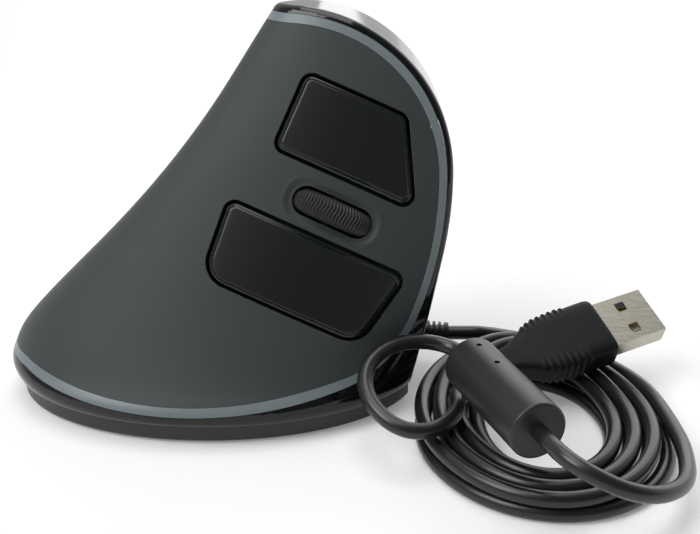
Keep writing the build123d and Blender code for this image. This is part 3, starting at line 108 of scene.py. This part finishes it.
def plastic(name, color, rough, specular=0.5, grain=0.0, grain_size=900.0, vary=0.0, sheen=0.0):
    """A moulded plastic: colour, roughness, a fine grain and slow changes of roughness."""
    material, tree, shader = new_material(name, color)
    shader.inputs["Roughness"].default_value = rough
    shader.inputs["Specular IOR Level"].default_value = specular
    shader.inputs["Sheen Weight"].default_value = sheen
    shader.inputs["Sheen Roughness"].default_value = SHEEN_ROUGHNESS
    place = tree.nodes.new("ShaderNodeTexCoord").outputs["Object"]
    if grain:
        bump = tree.nodes.new("ShaderNodeBump")
        bump.inputs["Strength"].default_value = grain
        bump.inputs["Distance"].default_value = GRAIN_HEIGHT * MM
        tree.links.new(noise(tree, place, grain_size, GRAIN_DETAIL), bump.inputs["Height"])
        tree.links.new(bump.outputs["Normal"], shader.inputs["Normal"])
    if vary:
        smudges = noise(tree, place, SMUDGE_SCALE, SMUDGE_DETAIL)
        vary_roughness(tree, shader, smudges, rough, vary)
    return material


def metal(name, color, rough):
    """A metal with fine scratches that run one way."""
    material, tree, shader = new_material(name, color)
    shader.inputs["Metallic"].default_value = 1
    place = tree.nodes.new("ShaderNodeTexCoord").outputs["Object"]
    stretch = tree.nodes.new("ShaderNodeMapping")
    stretch.inputs["Scale"].default_value = SCRATCH_STRETCH
    tree.links.new(place, stretch.inputs["Vector"])
    scratches = noise(tree, stretch.outputs["Vector"], SCRATCH_SCALE, SCRATCH_DETAIL)
    vary_roughness(tree, shader, scratches, rough, SCRATCH_VARY)
    return material


PANEL = plastic("panel", (0.033, 0.039, 0.0385), 0.56, 0.35, grain=0.35, vary=0.05, sheen=0.12)
STRIP = plastic("strip", (0.165, 0.195, 0.205), 0.35, 0.4, vary=0.04)
GLOSS = plastic("gloss", (0.0035, 0.004, 0.004), 0.08, 0.4, vary=0.02)
BASE = plastic("base", (0.026, 0.027, 0.027), 0.36, 0.4, grain=0.1, vary=0.05)
BUTTON = plastic(
    "button", (0.0075, 0.0092, 0.0102), 0.22, 0.45, grain=0.12, grain_size=1500, vary=0.04
)
TYRE = plastic("tyre", (0.019, 0.0195, 0.02), 0.5, 0.4, grain=0.1)
INNER = plastic("inner", (0.02, 0.02, 0.022), 0.5, vary=0.05)
SWITCH = plastic("switch", (0.006, 0.006, 0.007), 0.4, vary=0.05)
WHITE = plastic("white", (0.7, 0.7, 0.68), 0.4, vary=0.05)
BOARD = plastic("board", (0.008, 0.06, 0.025), 0.3, vary=0.05)
CHIP = plastic("chip", (0.006, 0.006, 0.006), 0.5, grain=0.2)
CORD = plastic("cord", (0.0105, 0.0108, 0.0115), 0.28, 0.5, grain=0.15, grain_size=700, vary=0.05)
CHOKE = plastic("choke", (0.018, 0.019, 0.0205), 0.38, 0.4, grain=0.25, grain_size=800, vary=0.05)
GRIP = plastic("grip", (0.004, 0.0043, 0.005), 0.5, 0.18, grain=0.3, grain_size=800, vary=0.06)
FOOT = plastic("foot", (0.004, 0.004, 0.004), 0.3, vary=0.05)
LENS = plastic("lens", (0.6, 0.65, 0.7), 0.1)
STEEL = metal("steel", (0.6, 0.6, 0.6), 0.3)
PLATED = metal("plated", (0.47, 0.445, 0.375), 0.27)
GOLD = metal("gold", (0.85, 0.62, 0.25), 0.25)

LOOKS = {
    "grip_shell": PANEL, "light_ring": STRIP, "gloss_frame": GLOSS, "base_case": BASE,
    "glide_feet": FOOT, "base_screws": STEEL, "left_button": BUTTON, "right_button": BUTTON,
    "button_hinge_pins": STEEL, "button_hinge_blocks": INNER, "left_switch": SWITCH,
    "right_switch": SWITCH, "left_switch_plunger": WHITE, "right_switch_plunger": WHITE,
    "finger_board": BOARD, "wheel_tyre": TYRE, "wheel_hub": INNER, "wheel_axle": STEEL,
    "wheel_carriage": INNER, "carriage_pin": STEEL, "carriage_bracket": INNER,
    "wheel_switch": SWITCH, "wheel_switch_plunger": WHITE, "wheel_light_emitter": SWITCH,
    "wheel_light_receiver": SWITCH, "inner_frame": INNER, "board_screws": STEEL,
    "back_button": BUTTON, "forward_button": BUTTON, "speed_button": BUTTON,
    "back_switch": SWITCH, "forward_switch": SWITCH, "speed_switch": SWITCH,
    "back_switch_plunger": WHITE, "forward_switch_plunger": WHITE,
    "speed_switch_plunger": WHITE, "side_board": BOARD, "main_board": BOARD,
    "sensor_lens": LENS, "sensor_chip": CHIP, "controller_chip": CHIP, "ring_leds": WHITE,
    "cable_socket": WHITE, "inner_cable": CORD, "strain_relief": CHOKE, "ferrite_choke": CHOKE,
    "ferrite_core": CHIP, "plug_grip": GRIP, "usb_shell": PLATED, "usb_tongue": WHITE,
    "usb_contacts": GOLD, "cord_lead": CORD, "cord_coil": CORD, "cord_tail": CORD,
    "cord_link": CORD,
}
for name, node in nodes.items():
    node.data.materials.clear()
    node.data.materials.append(LOOKS[name])


# Rounded edges on the sharp moulded and stamped pieces

EDGE_ANGLE = 28
EDGE_RADII = {
    "left_button": 0.28, "right_button": 0.28, "back_button": 0.25, "forward_button": 0.25,
    "speed_button": 0.25, "usb_shell": 0.12, "strain_relief": 0.15, "base_case": 0.3,
}
for name, radius in EDGE_RADII.items():
    rounding = nodes[name].modifiers.new("rounding", "BEVEL")
    rounding.width = radius * MM
    rounding.segments = 3
    rounding.limit_method = "ANGLE"
    rounding.angle_limit = math.radians(EDGE_ANGLE)


# The finger side's own directions, from the middle of the wheel opening

WHEEL_SPOT = Vector((24.633, -11.238, 46.545)) * MM
FORWARD = Vector((0.9135454576426009, -0.15038955484172004, -0.3779122631181478))
ACROSS = Vector((0.4067366430758002, 0.337780470585588, 0.848804840272726))
OUTWARD = Vector((0, -0.9291325715340562, 0.3697467572738293))


def ring_mesh(name, rings, material, closed):
    """A mesh from rows of points; each row is closed, and so is the stack if asked."""
    rows = len(rings)
    width = len(rings[0])
    points = [point for ring in rings for point in ring]
    faces = []
    for row in range(rows if closed else rows - 1):
        after = (row + 1) % rows
        for column in range(width):
            following = (column + 1) % width
            faces.append((
                row * width + column, row * width + following,
                after * width + following, after * width + column,
            ))
    if not closed:
        faces.append(tuple(reversed(range(width))))
        faces.append(tuple(range((rows - 1) * width, rows * width)))
    mesh = bpy.data.meshes.new(name)
    mesh.from_pydata(points, [], faces)
    mesh.validate()
    mesh.materials.append(material)
    piece = bpy.data.objects.new(name, mesh)
    bpy.context.scene.collection.objects.link(piece)
    for polygon in mesh.polygons:
        polygon.use_smooth = len(polygon.vertices) == 4
    work = bmesh.new()
    work.from_mesh(mesh)
    bmesh.ops.recalc_face_normals(work, faces=work.faces)
    work.to_mesh(mesh)
    work.free()
    return piece


# Ribbed tyre, a fine mesh in the place of its plain solid

WHEEL_DEPTH = 9.4
WHEEL_CENTRE = WHEEL_SPOT - OUTWARD * WHEEL_DEPTH * MM
TYRE_RADIUS = 12.0
TYRE_BORE = 9.6
TYRE_HALF = 2.7
TYRE_EDGE = 2.2
EDGE_STEPS = 10
FLAT_STEPS = 8
TYRE_RIBS = 96
STEPS_PER_RIB = 8
RIB_DEPTH = 0.42
RIB_SHARPNESS = 1.4
# How far the ribs swing round the wheel, and how fast they do so across it
RIB_SWING = 1.3
RIB_SWING_RATE = 1.9


def tyre_profile():
    """Radius, place across and share of the rib depth, once round the section."""
    rows = []
    for index in range(EDGE_STEPS + 1):
        turn = math.pi / 2 * index / EDGE_STEPS
        rows.append((
            TYRE_RADIUS - TYRE_EDGE + TYRE_EDGE * math.sin(turn),
            -(TYRE_HALF - TYRE_EDGE) - TYRE_EDGE * math.cos(turn), math.sin(turn),
        ))
    edge = list(rows)
    for index in range(1, FLAT_STEPS):
        rows.append((TYRE_RADIUS, (TYRE_HALF - TYRE_EDGE) * (2 * index / FLAT_STEPS - 1), 1))
    for radius, place, share in reversed(edge):
        rows.append((radius, -place, share))
    rows.append((TYRE_BORE, TYRE_HALF, 0))
    rows.append((TYRE_BORE, -TYRE_HALF, 0))
    return rows


def tyre_mesh():
    profile = tyre_profile()
    rings = []
    count = TYRE_RIBS * STEPS_PER_RIB
    for step in range(count):
        angle = 2 * math.pi * step / count
        ring = []
        for radius, place, share in profile:
            wave = TYRE_RIBS * angle + RIB_SWING * math.sin(place * RIB_SWING_RATE)
            dip = RIB_DEPTH * share * (0.5 - 0.5 * math.cos(wave)) ** RIB_SHARPNESS
            reach = (radius - dip) * MM
            ring.append(
                WHEEL_CENTRE + FORWARD * reach * math.cos(angle)
                + OUTWARD * reach * math.sin(angle) + ACROSS * place * MM
            )
        rings.append(ring)
    piece = ring_mesh("wheel_tyre_ribbed", rings, TYRE, True)
    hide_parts("wheel_tyre")
    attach(piece, "wheel")


tyre_mesh()


# Outlines on the finger side and smooth surfaces that are fitted to its solids

CORNER_POINTS = 14
EDGE_POINTS = 26
LEAST_CORNER = 0.35
SAMPLE_STRIDE = 4
SURFACE_SCALE = 20
RAY_START = 20
# A hit deeper than this has gone through an opening
OUTSIDE_BAND = 4.0


def cross(first, second):
    return first.x * second.y - first.y * second.x


def outline_points(corners, inset):
    """Points once round a convex outline that is moved inward by inset."""
    count = len(corners)
    lines = []
    for index in range(count):
        first = Vector(corners[index][:2])
        second = Vector(corners[(index + 1) % count][:2])
        along = (second - first).normalized()
        inward = Vector((-along.y, along.x))
        lines.append((first + inward * inset, along, inward))
    arcs = []
    for index in range(count):
        before, along_before, inward_before = lines[index - 1]
        here, along_here = lines[index][:2]
        turn = along_before.angle(along_here)
        reach = cross(here - before, along_here) / cross(along_before, along_here)
        corner = before + along_before * reach
        radius = max(LEAST_CORNER, corners[index][2] - inset)
        cut = radius * math.tan(turn / 2)
        centre = corner - along_before * cut + inward_before * radius
        start = math.atan2(-inward_before.y, -inward_before.x)
        arc = []
        for number in range(CORNER_POINTS):
            angle = start + turn * (number / (CORNER_POINTS - 1))
            arc.append(centre + radius * Vector((math.cos(angle), math.sin(angle))))
        arcs.append(arc)
    points = []
    for index, arc in enumerate(arcs):
        after = arcs[(index + 1) % count]
        points.extend(arc)
        for number in range(1, EDGE_POINTS):
            points.append(arc[-1].lerp(after[0], number / EDGE_POINTS))
    return points


def surface_terms(u, v):
    a, b = u / SURFACE_SCALE, v / SURFACE_SCALE
    return [1, a, b, a * a, a * b, b * b, a ** 3, a * a * b, a * b * b, b ** 3,
            a ** 4, a ** 3 * b, a * a * b * b, a * b ** 3, b ** 4]


def fitted_surface(node_name, spots, terms):
    """A smooth surface through the node's own outside at the given places."""
    mesh = nodes[node_name].data
    tree = BVHTree.FromPolygons(
        [vertex.co for vertex in mesh.vertices], [tuple(face.vertices) for face in mesh.polygons]
    )
    rows = []
    heights = []
    for u, v in spots:
        start = WHEEL_SPOT + (FORWARD * u + ACROSS * v + OUTWARD * RAY_START) * MM
        hit = tree.ray_cast(start, -OUTWARD)[0]
        height = (hit - WHEEL_SPOT).dot(OUTWARD) / MM if hit else math.inf
        if abs(height) < OUTSIDE_BAND:
            rows.append(surface_terms(u, v)[:terms])
            heights.append(height)
    fit = numpy.linalg.lstsq(numpy.array(rows), numpy.array(heights), rcond=None)[0]
    miss = numpy.abs(numpy.array(rows) @ fit - numpy.array(heights)).max()
    print(node_name, "samples", len(rows), "fit within", round(float(miss), 3), "mm")
    return fit


def surface_point(fit, u, v, rise):
    height = float(numpy.dot(surface_terms(u, v)[:len(fit)], fit)) + rise
    return WHEEL_SPOT + (FORWARD * u + ACROSS * v + OUTWARD * height) * MM


def surface_ring(fit, places, rise):
    return [surface_point(fit, *place, rise) for place in places]


# Rimmed caps over the two finger buttons: corners and radii of their openings

INDEX_CORNERS = [(-17.8, 7.0, 2.8), (17.1, 7.0, 2.8), (6.63, 25.8, 2.8), (-17.8, 25.8, 2.8)]
MIDDLE_CORNERS = [(-20.78, -24.6, 6.0), (17.29, -24.6, 6.0), (21.2, -5.8, 2.8), (-22.3, -5.8, 2.8)]

# Inset from the opening and height over the button's own top, from the foot to the top face
RIM_ROWS = [
    (0.84, -1.75), (0.82, -0.80), (0.84, -0.70), (0.90, -0.63), (1.00, -0.57), (1.50, -0.34),
    (1.60, -0.26), (1.65, -0.14), (1.70, -0.01), (1.78, 0.05), (1.95, 0.07), (2.40, 0.07),
    (3.20, 0.07), (4.40, 0.07),
]
CAP_SAMPLE_INSET = 2.4
CAP_SAMPLE_SHARES = (0, 0.2, 0.4, 0.6, 0.8, 1)
CAP_TERMS = 15
# Rings of the closed underside and of the face, as shares of the way from the middle
UNDER_SHARES = (0.05, 0.5, 0.9)
FACE_SHARES = (0.8, 0.6, 0.4, 0.2, 0.05)


def button_cap(node_name, corners):
    middle = sum((Vector(corner[:2]) for corner in corners), Vector((0, 0))) / len(corners)
    rim = outline_points(corners, CAP_SAMPLE_INSET)[::SAMPLE_STRIDE]
    spots = [middle.lerp(point, share) for share in CAP_SAMPLE_SHARES for point in rim]
    fit = fitted_surface(node_name, spots, CAP_TERMS)
    foot_inset, foot_rise = RIM_ROWS[0]
    face_inset, face_rise = RIM_ROWS[-1]
    foot = outline_points(corners, foot_inset)
    face = outline_points(corners, face_inset)
    rings = []
    for share in UNDER_SHARES:
        rings.append(surface_ring(fit, [middle.lerp(point, share) for point in foot], foot_rise))
    for inset, rise in RIM_ROWS:
        rings.append(surface_ring(fit, outline_points(corners, inset), rise))
    for share in FACE_SHARES:
        rings.append(surface_ring(fit, [middle.lerp(point, share) for point in face], face_rise))
    piece = ring_mesh(f"{node_name}_cap", rings, BUTTON, False)
    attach(piece, node_name)


button_cap("left_button", INDEX_CORNERS)
button_cap("right_button", MIDDLE_CORNERS)


# Soft dish round the wheel, over the step of the shell's plain recess

DISH_CORNERS = [(-11.3, -5.1, 4.6), (11.3, -5.1, 4.6), (11.3, 5.1, 4.6), (-11.3, 5.1, 4.6)]
DISH_SAMPLE_GROWTHS = (0.6, 1.2, 1.8, 2.4, 3.0)
DISH_TERMS = 10
DISH_DEPTH = 0.5
DISH_OVER = 0.03
DISH_THICKNESS = 0.3
DISH_STEPS = 12
DISH_LIP_SINK = 0.04
# Insets of the outer lip, which sinks into the shell, of the flat rim and of the slope's ends
DISH_LIP = -0.35
DISH_RIM = -0.2
DISH_SLOPE = 0.25
DISH_REACH = 1.75


def dish_skin():
    spots = []
    for growth in DISH_SAMPLE_GROWTHS:
        spots.extend(outline_points(DISH_CORNERS, -growth)[::SAMPLE_STRIDE])
    fit = fitted_surface("grip_shell", spots, DISH_TERMS)
    rows = [(DISH_LIP, DISH_OVER - DISH_LIP_SINK), (DISH_RIM, DISH_OVER)]
    for index in range(DISH_STEPS + 1):
        share = index / DISH_STEPS
        inset = DISH_SLOPE + share * (DISH_REACH - DISH_SLOPE)
        rows.append((inset, DISH_OVER - DISH_DEPTH * ease(share)))
    underside = DISH_OVER - DISH_DEPTH - DISH_THICKNESS
    rows += [(DISH_REACH, underside), (DISH_RIM, underside)]
    rings = [surface_ring(fit, outline_points(DISH_CORNERS, inset), rise) for inset, rise in rows]
    piece = ring_mesh("wheel_dish", rings, PANEL, True)
    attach(piece, "case")


dish_skin()


# Plug overmould, a fine mesh in the place of its plain solid

# Place along the plug, width and height; 0 is where the metal shell comes out
GRIP_ROWS = [
    (-26.0, 5.2, 4.9), (-25.7, 5.9, 5.4), (-24.0, 6.5, 5.7), (-21.5, 8.6, 6.1), (-18.0, 12.6, 6.8),
    (-15.0, 14.3, 7.3), (-11.0, 14.9, 7.6), (-5.0, 15.2, 7.8), (-1.6, 15.3, 7.8), (-0.5, 15.0, 7.6),
    (-0.1, 14.4, 7.1), (0.0, 13.6, 6.5),
]
GRIP_STEP = 0.13
GRIP_STEPS = 200
GRIP_SIDES = 72
# The lower this power, the squarer the section
GRIP_POWER = 0.38
GRIP_RIB_FIRST = -19.0
GRIP_RIB_LAST = -6.6
GRIP_RIB_PITCH = 1.55
GRIP_RIB_RISE = 0.5
GRIP_RIB_LEVEL = 0.35
GRIP_RIB_FADE = 1.2
# Shares of the half width: where the ribs start, where they stand out in full, and their share
# of that on the rest
GRIP_RIB_FROM = 0.45
GRIP_RIB_FULL = 0.9
GRIP_RIB_SHARE = 0.6
PLUG_SPOT = (86.2, -6.2, 15.6)
PLUG_YAW = 21.4
PLUG_PITCH = 8.6
PLUG_ROLL = 27.0
PLUG_FRAME = (
    Matrix.Translation(Vector(PLUG_SPOT) * MM)
    @ Matrix.Rotation(math.radians(PLUG_YAW), 4, "Z")
    @ Matrix.Rotation(math.radians(-PLUG_PITCH), 4, "Y")
    @ Matrix.Rotation(math.radians(PLUG_ROLL), 4, "X")
)


def grip_size(x):
    """Width and height of the overmould at this place along the plug."""
    for (x0, wide0, high0), (x1, wide1, high1) in zip(GRIP_ROWS, GRIP_ROWS[1:]):
        if x <= x1:
            share = (x - x0) / (x1 - x0)
            return wide0 + share * (wide1 - wide0), high0 + share * (high1 - high0)
    return GRIP_ROWS[-1][1:]


def grip_rib(x):
    """How far a rib stands out at this place along the plug."""
    if x < GRIP_RIB_FIRST or x > GRIP_RIB_LAST:
        return 0
    wave = math.cos(2 * math.pi * (x - GRIP_RIB_FIRST) / GRIP_RIB_PITCH + math.pi)
    ends = min(1, (x - GRIP_RIB_FIRST) / GRIP_RIB_FADE, (GRIP_RIB_LAST - x) / GRIP_RIB_FADE)
    return GRIP_RIB_RISE * ends * max(0, GRIP_RIB_LEVEL + (1 - GRIP_RIB_LEVEL) * wave)


def grip_mesh():
    even = {round(GRIP_ROWS[0][0] + GRIP_STEP * index, 3) for index in range(GRIP_STEPS)}
    stations = sorted({row[0] for row in GRIP_ROWS} | even)
    rings = []
    for x in stations:
        wide, high = grip_size(x)
        rib = grip_rib(x)
        ring = []
        for index in range(GRIP_SIDES):
            angle = 2 * math.pi * index / GRIP_SIDES
            across, up = math.cos(angle), math.sin(angle)
            y = math.copysign(abs(across) ** GRIP_POWER, across)
            z = math.copysign(abs(up) ** GRIP_POWER, up)
            edge = max(0, abs(y) - GRIP_RIB_FROM) / (1 - GRIP_RIB_FROM)
            y = y * (wide / 2 + rib * edge * (1 if abs(y) > GRIP_RIB_FULL else GRIP_RIB_SHARE))
            z = z * (high / 2 + GRIP_RIB_SHARE * rib * edge)
            ring.append(PLUG_FRAME @ (Vector((x, y, z)) * MM))
        rings.append(ring)
    piece = ring_mesh("plug_overmould", rings, GRIP, False)
    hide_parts("plug_grip")
    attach(piece, "case")
    return piece


overmould = grip_mesh()


# Free cord: one spline from the strain relief through the coil and the choke to the plug

CORD_RADIUS = 1.7
CORD_REST = 1.75
LEAD = [
    (52.4, 7.5, 8.4), (57.0, 7.5, 8.4), (61.0, 7.5, 8.4), (72.5, 13.5, 3.6),
    (88.0, 9.0, CORD_REST), (97.0, -7.0, CORD_REST), (97.0, -20.0, CORD_REST),
]
TAIL = [
    (97.0, -31.0, 5.75), (97.0, -42.0, 5.75), (93.0, -57.0, 7.5), (80.9, -68.2, 12.7),
    (68.364, -65.365, 18.0), (64.26, -54.09, 18.0),
]
LINK = [
    (54.0, -25.9, 18.0), (51.75, -19.717, 18.0), (45.6, -17.8, 19.0), (38.0, -20.8, 20.0),
    (32.0, -26.4, 18.0), (31.4, -33.2, 14.5), (35.8, -39.5, 11.5), (41.5, -41.5, 10.0),
    (47.6, -38.5, 9.6), (51.3, -32.3, 9.6), (51.3, -25.0, 9.6), (55.175, -18.358, 10.562),
    (62.264, -15.58, 11.713),
]
COIL_CENTRE = (69.5, -27.0)
COIL_HALF_WIDTH = 27.5
COIL_HALF_BEHIND = 33.0
COIL_HALF_AHEAD = 31.5
COIL_TURNS = 7
COIL_PITCH = 4.0
POINTS_PER_TURN = 24
# Turns before the upper layer, and the part of a turn in which the cord climbs to it
LAYER_TURNS = 3.5
LAYER_CLIMB = 0.5

# Each turn's shift along X and Y and its lift behind
TURN_SHIFTS = [
    (0.0, 0.0, 0.0), (-0.1, 0.2, 0.0), (-0.2, 0.3, 0.0), (0.0, 0.2, 0.0),
    (0.6, 2.6, 1.8), (-1.2, 4.4, 3.6), (-2.2, 3.4, 2.6), (0.0, 0.4, 0.4),
]

# The upper layer lies in the grooves of the lower one in front
NEST_SHIFT = 2.0
NEST_DROP = 0.85
NEST_POWER = 1.5


def coil_points():
    """Loose turns that lie close in front and fan out and rise behind."""
    points = []
    for index in range(1, COIL_TURNS * POINTS_PER_TURN):
        turn = index / POINTS_PER_TURN
        angle = -2 * math.pi * turn
        inset = COIL_PITCH * min(turn, COIL_TURNS - turn)
        climb = (turn - LAYER_TURNS + LAYER_CLIMB / 2) / LAYER_CLIMB
        rise = ease(min(1, max(0, climb)))
        depth = COIL_HALF_BEHIND if math.sin(angle) > 0 else COIL_HALF_AHEAD
        x = COIL_CENTRE[0] + (COIL_HALF_WIDTH - inset) * math.cos(angle)
        y = COIL_CENTRE[1] + (depth - inset) * math.sin(angle)
        z = CORD_REST + COIL_PITCH * rise
        here = int(turn)
        blend = turn - here
        blend = blend * blend * (3 - 2 * blend)
        first, second = TURN_SHIFTS[here], TURN_SHIFTS[here + 1]
        shift = [a + blend * (b - a) for a, b in zip(first, second)]
        behind = max(0, math.sin(angle)) ** 2
        ahead = max(0, -math.sin(angle)) ** NEST_POWER
        y -= NEST_SHIFT * rise * ahead
        z -= NEST_DROP * rise * ahead
        x += shift[0] * behind
        y += shift[1] * behind
        z += shift[2] * behind
        points.append((x, y, z))
    return points


def cord_spline(name, points):
    curve = bpy.data.curves.new(name, "CURVE")
    curve.dimensions = "3D"
    curve.bevel_depth = CORD_RADIUS * MM
    curve.bevel_resolution = 6
    curve.resolution_u = 6
    curve.use_fill_caps = True
    spline = curve.splines.new("NURBS")
    spline.points.add(len(points) - 1)
    for place, point in zip(points, spline.points):
        point.co = (place[0] * MM, place[1] * MM, place[2] * MM, 1)
    spline.order_u = 3
    spline.use_endpoint_u = True
    piece = bpy.data.objects.new(name, curve)
    bpy.context.scene.collection.objects.link(piece)
    piece.data.materials.append(CORD)
    return piece


cord = cord_spline("cord", LEAD + coil_points() + TAIL + LINK)
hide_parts("cord_lead", "cord_coil", "cord_tail", "cord_link")
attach(cord, "case")


# Stage: its sizes are in metres

FLOOR_SIZE = 12.0
FLOOR_COLOR = (0.83, 0.83, 0.825)
FLOOR_ROUGHNESS = 0.6
# The floor's glow grows between these distances from its middle, from the first strength to
# the second
GLOW_DISTANCES = (0.25, 1.4)
GLOW_STRENGTHS = (0.2, 0.86)


def floor_material():
    """Paint that the lamps light, with a glow for the camera, gloss and glass alone."""
    material, tree, shader = new_material("floor", FLOOR_COLOR)
    shader.inputs["Roughness"].default_value = FLOOR_ROUGHNESS
    shader.inputs["Emission Color"].default_value = (1, 1, 1, 1)
    place = tree.nodes.new("ShaderNodeTexCoord").outputs["Object"]
    away = tree.nodes.new("ShaderNodeVectorMath")
    away.operation = "LENGTH"
    tree.links.new(place, away.inputs[0])
    glow = map_range(tree, away.outputs["Value"], GLOW_DISTANCES, GLOW_STRENGTHS)
    glow.interpolation_type = "SMOOTHSTEP"
    path = tree.nodes.new("ShaderNodeLightPath").outputs
    seen = combine(tree, "MAXIMUM", path["Is Camera Ray"], path["Is Glossy Ray"])
    seen = combine(tree, "MAXIMUM", seen, path["Is Transmission Ray"])
    strength = combine(tree, "MULTIPLY", seen, glow.outputs["Result"])
    tree.links.new(strength, shader.inputs["Emission Strength"])
    return material


bpy.ops.mesh.primitive_plane_add(size=FLOOR_SIZE)
floor = bpy.context.active_object
floor.name = "floor"
floor.data.materials.append(floor_material())


def area_light(name, place, target, size, power):
    lamp = bpy.data.lights.new(name, "AREA")
    lamp.shape = "RECTANGLE"
    lamp.size = size[0]
    lamp.size_y = size[1]
    lamp.energy = power
    light = bpy.data.objects.new(name, lamp)
    bpy.context.scene.collection.objects.link(light)
    light.location = place
    light.rotation_euler = (Vector(target) - Vector(place)).to_track_quat("-Z", "Y").to_euler()


area_light("key", (-0.50, -0.36, 0.66), (0.02, 0, 0.03), (0.5, 0.5), 4.5)
area_light("top", (-0.05, 0.02, 0.9), (0.03, 0, 0.02), (0.8, 0.5), 3.7)
area_light("fill", (0.35, 0.65, 0.45), (0.02, 0, 0.04), (0.8, 0.6), 2.4)


WORLD_COLOR = (0.97, 0.985, 1, 1)
DIFFUSE_STRENGTH = 0.17
CAMERA_STRENGTH = 1
# In gloss: parts of the direction along Y and X, and the strengths between which they grow
BEHIND_PART = (-0.15, 0.45)
BEHIND_STRENGTHS = (0.16, 0.85)
LEFT_PART = (0.12, -0.40)
LEFT_STRENGTHS = (0.0, 0.42)


def studio_world():
    """A dim room, white to the camera, and in gloss pale behind the object and to its left."""
    world = bpy.data.worlds.new("world")
    bpy.context.scene.world = world
    world.use_nodes = True
    tree = world.node_tree
    background = tree.nodes["Background"]
    background.inputs["Color"].default_value = WORLD_COLOR
    direction = tree.nodes.new("ShaderNodeTexCoord").outputs["Generated"]
    split = tree.nodes.new("ShaderNodeSeparateXYZ")
    tree.links.new(direction, split.inputs["Vector"])
    behind = map_range(tree, split.outputs["Y"], BEHIND_PART, BEHIND_STRENGTHS)
    left = map_range(tree, split.outputs["X"], LEFT_PART, LEFT_STRENGTHS)
    room = combine(tree, "MAXIMUM", behind.outputs["Result"], left.outputs["Result"])
    path = tree.nodes.new("ShaderNodeLightPath").outputs
    glossy = combine(tree, "MAXIMUM", path["Is Glossy Ray"], path["Is Transmission Ray"])
    gloss_mix = tree.nodes.new("ShaderNodeMix")
    gloss_mix.inputs["A"].default_value = DIFFUSE_STRENGTH
    tree.links.new(glossy, gloss_mix.inputs["Factor"])
    tree.links.new(room, gloss_mix.inputs["B"])
    camera_mix = tree.nodes.new("ShaderNodeMix")
    camera_mix.inputs["B"].default_value = CAMERA_STRENGTH
    tree.links.new(path["Is Camera Ray"], camera_mix.inputs["Factor"])
    tree.links.new(gloss_mix.outputs["Result"], camera_mix.inputs["A"])
    tree.links.new(camera_mix.outputs["Result"], background.inputs["Strength"])


studio_world()

camera_data = bpy.data.cameras.new("camera")
camera_data.lens = 56.57
camera_data.sensor_width = 36
camera = bpy.data.objects.new("camera", camera_data)
bpy.context.scene.collection.objects.link(camera)
camera.location = (0.0285, -0.2333, 0.128)
camera.rotation_euler = (math.radians(67), 0, 0)
bpy.context.scene.camera = camera
bpy.context.scene.view_settings.view_transform = "Standard"
